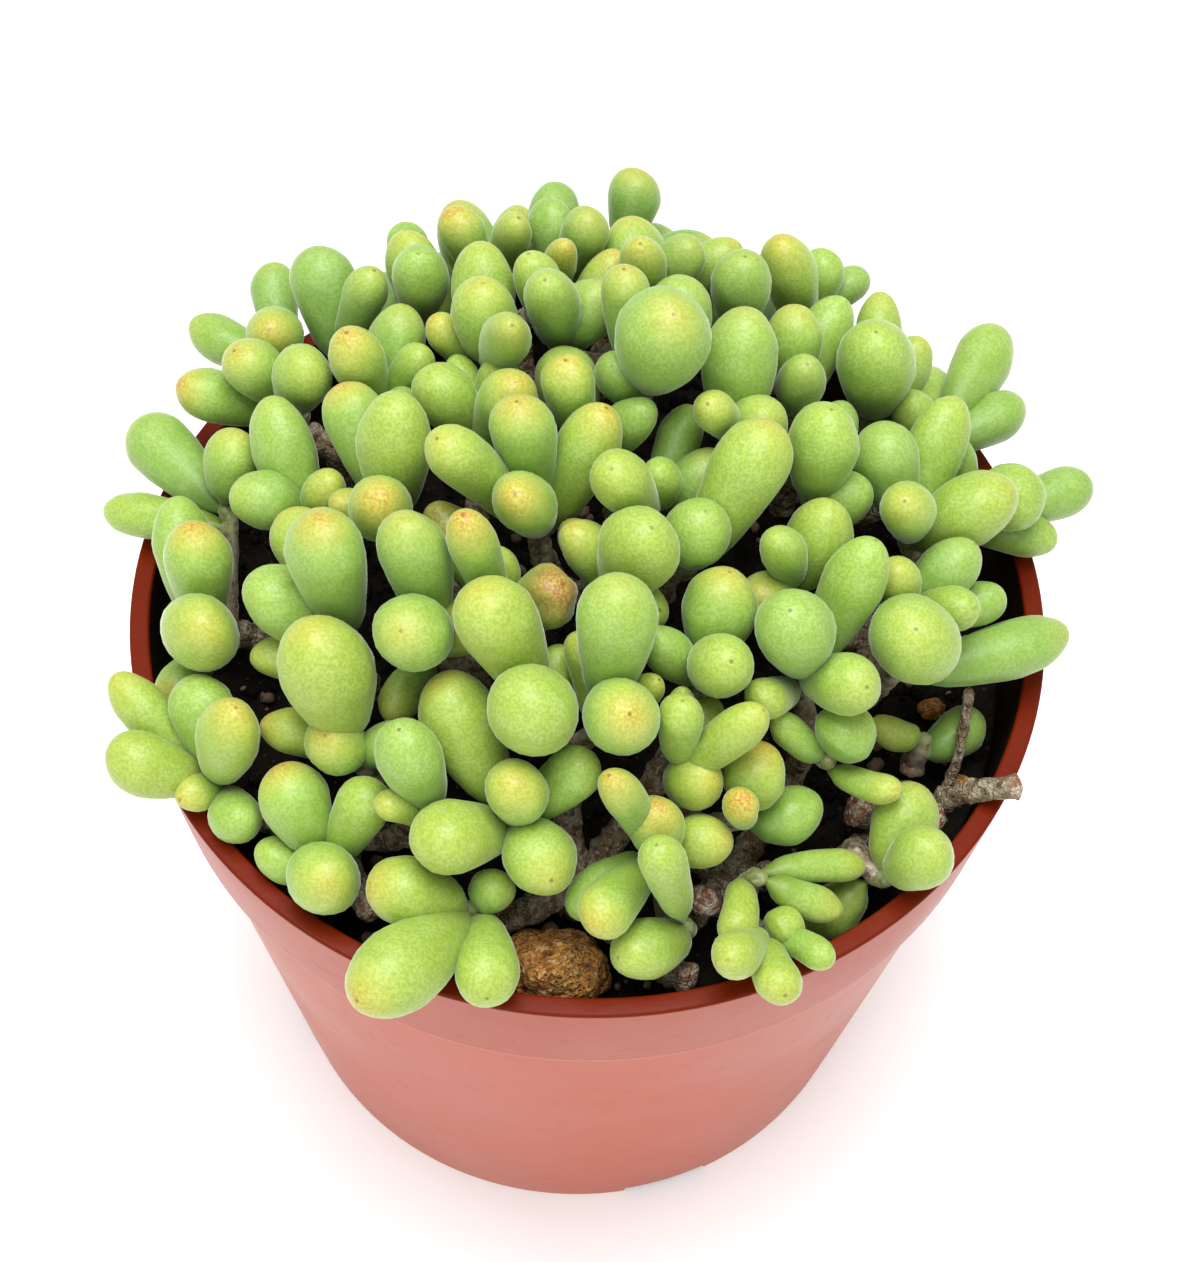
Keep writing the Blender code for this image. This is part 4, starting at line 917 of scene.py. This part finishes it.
woodLook = {
    "around": 20, "ringStep": 0.42, "scarStep": 2.4, "scarHeight": 0.22, "knobHeight": 0.55,
    "lumpHeight": 0.42, "lumpSizes": ((1.5, 1.0), (0.7, 0.45)), "knobTurn": 2.4,
    "cutLength": 1.3,
    "brown": (0.200, 0.128, 0.072), "grey": (0.370, 0.310, 0.225),
    "moss": (0.190, 0.200, 0.095, 0.45), "papery": (0.600, 0.540, 0.420, 0.55),
    "dark": (0.050, 0.034, 0.022, 0.75), "cut": (0.300, 0.110, 0.055), "cutStrength": 0.85,
    "scales": 0.5, "relief": 0.45, "seed": 7,
}


def barkColour(tree, place):
    patches = mask(tree, mottle, place, Scale=330, Detail=6, Low=0.42, High=0.60)
    moss = mask(tree, mottle, place, Scale=120, Detail=4, Low=0.50, High=0.66)
    flecks = mask(tree, mottle, place, Scale=1300, Detail=4, Low=0.56, High=0.66)
    cracks = mask(tree, mottle, place, Scale=760, Detail=6, Low=0.52, High=0.62)
    colour = mixColours(tree, patches, woodLook["brown"], woodLook["grey"])
    return paint(tree, colour, woodLook, moss=moss, papery=flecks, dark=cracks)


def makeWoodFinish():
    finish, tree, shader, place = startFinish("bark", Roughness=0.90, Specular_IOR_Level=0.25)
    cut = multiply(tree, attribute(tree, "cut"), woodLook["cutStrength"])
    crust = mask(tree, mottle, place, Scale=1100, Detail=4, Low=0.45, High=0.60)
    ends = mixColours(tree, crust, woodLook["cut"], woodLook["papery"])
    colour = mixColours(tree, cut, barkColour(tree, place), ends)
    scales = mask(tree, crackle, place, Scale=1150, Width=0.22)
    height = calculate(tree, "SUBTRACT", fineNoise(tree, place, 1300.0, 6.0),
                       multiply(tree, scales, woodLook["scales"]))
    endFinish(tree, shader, colour, height, woodLook["relief"])
    return finish


def addWood(bm, cutLayer, path, radii, seed, bare=False):
    # a knobbly branch with rings and staggered knobs where leaves once grew
    length = sum((end - start).length for start, end in zip(path, path[1:]))
    across = (path[-1] - path[0]).orthogonal().normalized()
    rings = max(12, int(length / woodLook["ringStep"]))

    def place(corner, turn, lift):
        centre, outward = aroundPath(path, across, turn, lift)
        wide = radii[0] + (radii[1] - radii[0]) * lift
        spot = centre + outward * wide
        row = lift * length / woodLook["scarStep"] + seed
        scar = math.sin(math.pi * row) ** 2
        around = 2 * math.atan2(turn.y, turn.x) - woodLook["knobTurn"] * math.floor(row)
        knob = max(0.0, math.cos(around))
        thick = wide / woodShape["branchRadius"]
        wide += thick * woodLook["scarHeight"] * (scar - 0.5)
        wide += thick * woodLook["knobHeight"] * scar * (knob ** 2 - 0.4)
        for size, share in woodLook["lumpSizes"]:
            wide += bump(spot, size, share * thick * woodLook["lumpHeight"], 10 * seed)
        wide *= min(1.0, math.sin(math.pi * lift) * max(4.0, 0.5 * length))
        toEnd = length * (1 - lift) / woodLook["cutLength"]
        corner[cutLayer] = clamp(1.4 - toEnd) if bare else 0.0
        return centre + outward * wide

    stretchBall(bm, woodLook["around"], rings, place)


def rounded(path):
    # the coarse stations of the solids, made into a smooth curve through them
    curve = []
    for number in range(len(path) - 1):
        before = path[max(number - 1, 0)]
        after = path[min(number + 2, len(path) - 1)]
        for step in range(4):
            t = step / 4
            start, end = path[number], path[number + 1]
            curve.append(0.5 * (2 * start + (end - before) * t
                                + (2 * before - 5 * start + 4 * end - after) * t ** 2
                                + (3 * start - before - 3 * end + after) * t ** 3))
    return curve + [path[-1]]


def makeStem(clump, draw, finish):
    x, y = clump["foot"]
    bm = bmesh.new()
    cut = bm.verts.layers.float.new("cut")
    trunk = [Vector((x, y, soilTop - woodShape["holeDepth"])), clump["fork"] + Vector((0, 0, 1.5))]
    addWood(bm, cut, trunk, (woodShape["trunkRadius"], 0.9 * woodShape["trunkRadius"]),
            draw.random())
    for path, radius in clump["stubs"]:
        addWood(bm, cut, rounded(path), (radius, radius), draw.random(), bare=True)
    for shoot in clump["shoots"]:
        addWood(bm, cut, rounded(shoot["branch"]),
                (woodShape["branchRadius"], twigShape["radius"]), draw.random())
    return dressNode(bm, f"stem_{clump['name']}_bark", "wood", finish, f"stem_{clump['name']}")


# Leaves

leafLook = {
    # deepGreenShade: the leaf's own deep green, darkened further as painted shade where the necks sit
    # in the rosette
    "deepGreenShade": (0.085, 0.165, 0.022), "green": (0.250, 0.400, 0.062),
    # painted over the green in this order; the fourth number is how strongly
    # light: the paler green of the thick end, partly a painted highlight where the leaf ends face the
    # light
    "light": (0.360, 0.520, 0.095, 1), "warm": (0.420, 0.480, 0.062, 0.8),
    "blue": (0.190, 0.350, 0.095, 0.8), "bloom": (0.560, 0.680, 0.330, 0.12),
    "shade": (0.140, 0.260, 0.035, 0.40), "yellow": (0.620, 0.560, 0.085, 0.65),
    "orange": (0.450, 0.150, 0.030, 1), "brown": (0.330, 0.150, 0.045, 1),
    "dot": (0.130, 0.060, 0.020, 0.65),
    "blushReach": 5.6, "agedReach": 8.0, "dotSize": 0.36, "roughness": (0.38, 0.54),
    "bend": 0.9, "lumps": 0.18, "lumpSize": 3.6, "wrinkles": 0.5, "flatness": 0.07,
    "egg": (0.04, 0.24), "fullness": 1.05, "tintSpread": 0.5, "relief": 0.06, "seed": 23,
    # leaves at these places of the plan have aged, or are flushed, by so much
    "aged": {(-6, -21): 1.0, (-3, -12): 0.55, (-22, -8): 0.6, (-19, -27): 0.45},
    "flushed": {(22, -45): 1.2, (11, -47): 1.0, (-19, -14): 1.1, (-58, -6): 1.1, (24, -41): 1.0},
}


def makeLeafFinish():
    finish, tree, shader, place = startFinish(
        "leafSkin", Subsurface_Weight=0.20, Subsurface_Scale=0.003, Sheen_Weight=0.45,
        Sheen_Roughness=0.30, Sheen_Tint=(0.92, 1.0, 0.86, 1), Specular_IOR_Level=0.40)
    shader.inputs["Subsurface Radius"].default_value = (0.8, 1.0, 0.25)
    along = attribute(tree, "along")
    look = addNode(tree, "ShaderNodeSeparateXYZ", {"Vector": attribute(tree, "look", "Vector")})
    tint, blush, aged = (look.outputs[axis] for axis in "XYZ")
    fromTip = attribute(tree, "fromTip", "Vector")
    flat, distance, _ = fromAxis(tree, fromTip)
    heading = addNode(tree, "ShaderNodeVectorMath", {0: flat}, operation="NORMALIZE").outputs[0]
    spokes = addNode(tree, "ShaderNodeVectorMath", {0: heading, 1: (5.0, 5.0, 5.0), 2: fromTip},
                     operation="MULTIPLY_ADD").outputs[0]

    cloud = mask(tree, mottle, place, Scale=140, Detail=4, Low=0.35, High=0.65)
    net = mask(tree, mottle, place, Scale=2200, Detail=5, Low=0.42, High=0.58)
    film = mask(tree, mottle, place, Scale=420, Detail=5, Low=0.44, High=0.64)
    dots = mask(tree, speckle, place, Scale=1900, Size=0.42, Edge=0.20)
    rays = mask(tree, mottle, spokes, Scale=2.2, Detail=4, Low=0.44, High=0.62)

    # darker towards the root and lighter towards the thick end: the leaf's own tones, with painted
    # shade at the root and a painted highlight on the thick end
    colour = mixColours(tree, ramp(tree, along, 0.05, 0.45), leafLook["deepGreenShade"], leafLook["green"])
    upperHighlight = multiply(tree, ramp(tree, along, 0.40, 0.95), ramp(tree, cloud, 0.0, 1.0, 0.55, 1.0))
    glow = multiply(tree, ramp(tree, distance, leafLook["blushReach"], 0.3), blush)
    grains = calculate(tree, "MAXIMUM", multiply(tree, rays, 0.7), multiply(tree, net, 0.8))
    burnt = multiply(tree, calculate(tree, "POWER", glow, 1.8),
                     ramp(tree, grains, 0.1, 0.8, 0.04, 0.75))
    nearTip = ramp(tree, distance, leafLook["agedReach"], 2.0)
    worn = multiply(tree, multiply(tree, aged, nearTip),
                    ramp(tree, calculate(tree, "MAXIMUM", dots, net), 0.0, 1.0, 0.45, 1.0))
    mark = ramp(tree, distance, leafLook["dotSize"], 0.6 * leafLook["dotSize"])
    mark = multiply(tree, mark, ramp(tree, cloud, 0.3, 0.7))
    colour = paint(tree, colour, leafLook, light=upperHighlight, warm=ramp(tree, tint, 0.0, 1.0),
                   blue=ramp(tree, tint, 0.0, -1.0), bloom=film, shade=net, yellow=glow,
                   orange=burnt, brown=worn, dot=mark)
    colour = mixColours(tree, attribute(tree, "bark"), colour, barkColour(tree, place))
    tree.links.new(ramp(tree, film, 0.0, 1.0, *leafLook["roughness"]), shader.inputs["Roughness"])
    endFinish(tree, shader, colour, fineNoise(tree, place, 1500.0, 3.0), leafLook["relief"])
    return finish


def addLeaf(bm, layers, leaf, draw):
    axis = leaf["end"] - leaf["root"]
    ahead = axis.normalized()
    across = ahead.orthogonal().normalized()
    other = ahead.cross(across)
    radius, neck = leaf["radius"], leafShape["neckRadius"]
    flat = 1 - draw.uniform(0, leafLook["flatness"])
    sway = draw.uniform(-1, 1) * leafLook["bend"]
    seed = draw.uniform(0, 100)
    length = axis.length + radius
    x, y = leaf["planned"]
    tint = draw.uniform(-leafLook["tintSpread"], leafLook["tintSpread"]) - 0.005 * y
    blush = draw.random() ** 1.2 * (0.9 - 0.006 * x)
    blush = leafLook["flushed"].get(leaf["planned"], blush)
    aged = leafLook["aged"].get(leaf["planned"], 0.0)
    lumps = leafLook["lumps"] + aged * leafLook["wrinkles"]
    widest = 1 - draw.uniform(*leafLook["egg"])
    cap = (1 - widest) * axis.length + radius
    full = radius * leafLook["fullness"]

    def place(corner, turn, lift):
        if lift < 0.5:
            share = 2 * lift
            centre, wide = leaf["root"] + axis * widest * share, neck + (full - neck) * swell(share)
            wide *= min(1.0, 6 * lift)
            fromTip = math.pi / 2 * radius + (1 - share) * axis.length
        else:
            over = math.pi * (lift - 0.5)
            centre = leaf["root"] + axis * widest + ahead * cap * math.sin(over)
            wide = full * math.cos(over)
            fromTip = (math.pi / 2 - over) * radius
        outward = across * turn.x * flat + other * turn.y / flat
        spot = centre + outward * wide
        along = clamp((spot - leaf["root"]).dot(ahead) / length)
        spot += across * sway * math.sin(math.pi * along)
        spot += (ahead + outward) * bump(spot, leafLook["lumpSize"], lumps * wide / radius, seed)
        corner[layers["along"]] = along
        corner[layers["look"]] = Vector((tint, blush, aged))
        corner[layers["fromTip"]] = Vector((turn.x * fromTip, turn.y * fromTip, seed))
        return spot

    stretchBall(bm, leafShape["around"], leafShape["along"], place)


def addTwig(bm, layers, path, radii, seed):
    # a growing tip: woody at its foot and a little greener at its end
    across = (path[-1] - path[0]).orthogonal().normalized()

    def place(corner, turn, lift):
        centre, outward = aroundPath(path, across, turn, lift)
        wide = radii[0] + (radii[1] - radii[0]) * lift
        wide += bump(centre + outward * wide, 1.4, 0.45 * (1 - lift), seed)
        wide *= min(1.0, math.sin(math.pi * lift) * 5)
        corner[layers["along"]] = 0.25
        corner[layers["bark"]] = max(twigShape["budBark"], min(1.0, 2.6 - 2.4 * lift))
        corner[layers["fromTip"]] = Vector((20, 0, 0))
        return centre + outward * wide

    stretchBall(bm, *twigShape["mesh"], place)


def makeShoot(name, shoot, draw, finish):
    bm = bmesh.new()
    layers = {key: bm.verts.layers.float_vector.new(key) for key in ("look", "fromTip")}
    layers.update((key, bm.verts.layers.float.new(key)) for key in ("along", "bark"))
    seat = shoot["seat"] + shoot["heading"] * woodShape["gap"]
    collar = seat + shoot["heading"] * twigShape["collar"]
    for rosette in shoot["rosettes"]:
        bud = rosette["tip"] + rosette["axis"] * twigShape["budLength"]
        addTwig(bm, layers, [seat, collar, rosette["tip"], bud],
                (twigShape["radius"], 0.6 * twigShape["radius"]), draw.uniform(0, 100))
        for leaf in rosette["leaves"]:
            addLeaf(bm, layers, leaf, draw)
    return dressNode(bm, name + "_leaves", "leaf", finish, name)


leafFinish, woodFinish = makeLeafFinish(), makeWoodFinish()
leafDraw, woodDraw = random.Random(leafLook["seed"]), random.Random(woodLook["seed"])
for clump in clumps:
    makeStem(clump, woodDraw, woodFinish)
    for number, shoot in enumerate(clump["shoots"], start=1):
        makeShoot(f"shoot_{clump['name']}_{number}", shoot, leafDraw, leafFinish)
    print("clump", clump["name"], "done")


# Floor, light and camera

studio = {
    "floorColour": (0.94, 0.94, 0.94), "floorGlow": 0.18, "floorSize": 8000.0,
    "worldStrength": 0.58,
    "lights": {                      # place, size and power in watts
        "key": ((-20, 20, 1000), 600, 10.5),
        "front": ((-200, -900, 620), 800, 3.5),
    },
}
view = {
    "focalPixels": 2600, "imageHeight": 1262, "sensor": 36.0, "distance": 399.1,
    "elevation": 55.497, "pan": -0.268, "tilt": -0.672, "roll": -2.478,
}


def makeFloor():
    # paper that glows a little, as on a light table
    finish, _, shader, _ = startFinish(
        "paleFloor", Roughness=0.9, Emission_Color=(1, 1, 1, 1),
        Emission_Strength=studio["floorGlow"])
    shader.inputs["Base Color"].default_value = (*studio["floorColour"], 1)
    bm = bmesh.new()
    bmesh.ops.create_grid(bm, x_segments=1, y_segments=1, size=studio["floorSize"] / 2)
    floor = addMesh(bm, "floor")
    floor.data.materials.append(finish)


def makeLights():
    middle = Vector((0, 0, potShape["height"])) * mm
    for name, (place, size, power) in studio["lights"].items():
        lamp = bpy.data.lights.new(name, "AREA")
        lamp.size, lamp.energy = size * mm, power
        holder = addObject(name, lamp)
        holder.location = Vector(place) * mm
        holder.rotation_euler = (middle - holder.location).to_track_quat("-Z", "Y").to_euler()
    world = bpy.data.worlds.new("studio")
    world.use_nodes = True
    setSockets(world.node_tree, world.node_tree.nodes["Background"],
               {"Color": (1, 1, 1, 1), "Strength": studio["worldStrength"]})
    bpy.context.scene.world = world


def makeCamera():
    # looks at the middle of the rim from the photograph's side, then turned by the small angles
    lift = math.radians(view["elevation"])
    forward = Vector((0, math.cos(lift), -math.sin(lift)))
    right = Vector((1, 0, 0))
    up = right.cross(forward)
    place = Vector((0, 0, potShape["height"])) - forward * view["distance"]
    for axisName, angle in (("up", view["pan"]), ("right", view["tilt"]),
                            ("forward", view["roll"])):
        axis = {"up": up, "right": right, "forward": forward}[axisName].copy()
        for direction in (forward, right, up):
            direction.rotate(Matrix.Rotation(math.radians(angle), 3, axis))
    camera = bpy.data.cameras.new("photoCamera")
    camera.sensor_fit = "VERTICAL"
    camera.sensor_height = view["sensor"]
    camera.lens = view["focalPixels"] / view["imageHeight"] * view["sensor"]
    camera.clip_start, camera.clip_end = 0.01, 10
    holder = addObject("photoCamera", camera)
    holder.matrix_world = Matrix.Translation(place * mm) @ Matrix(
        (right, up, -forward)).transposed().to_4x4()
    bpy.context.scene.camera = holder


makeFloor()
makeLights()
makeCamera()
bpy.context.scene.view_settings.view_transform = "Standard"
print("stage done")
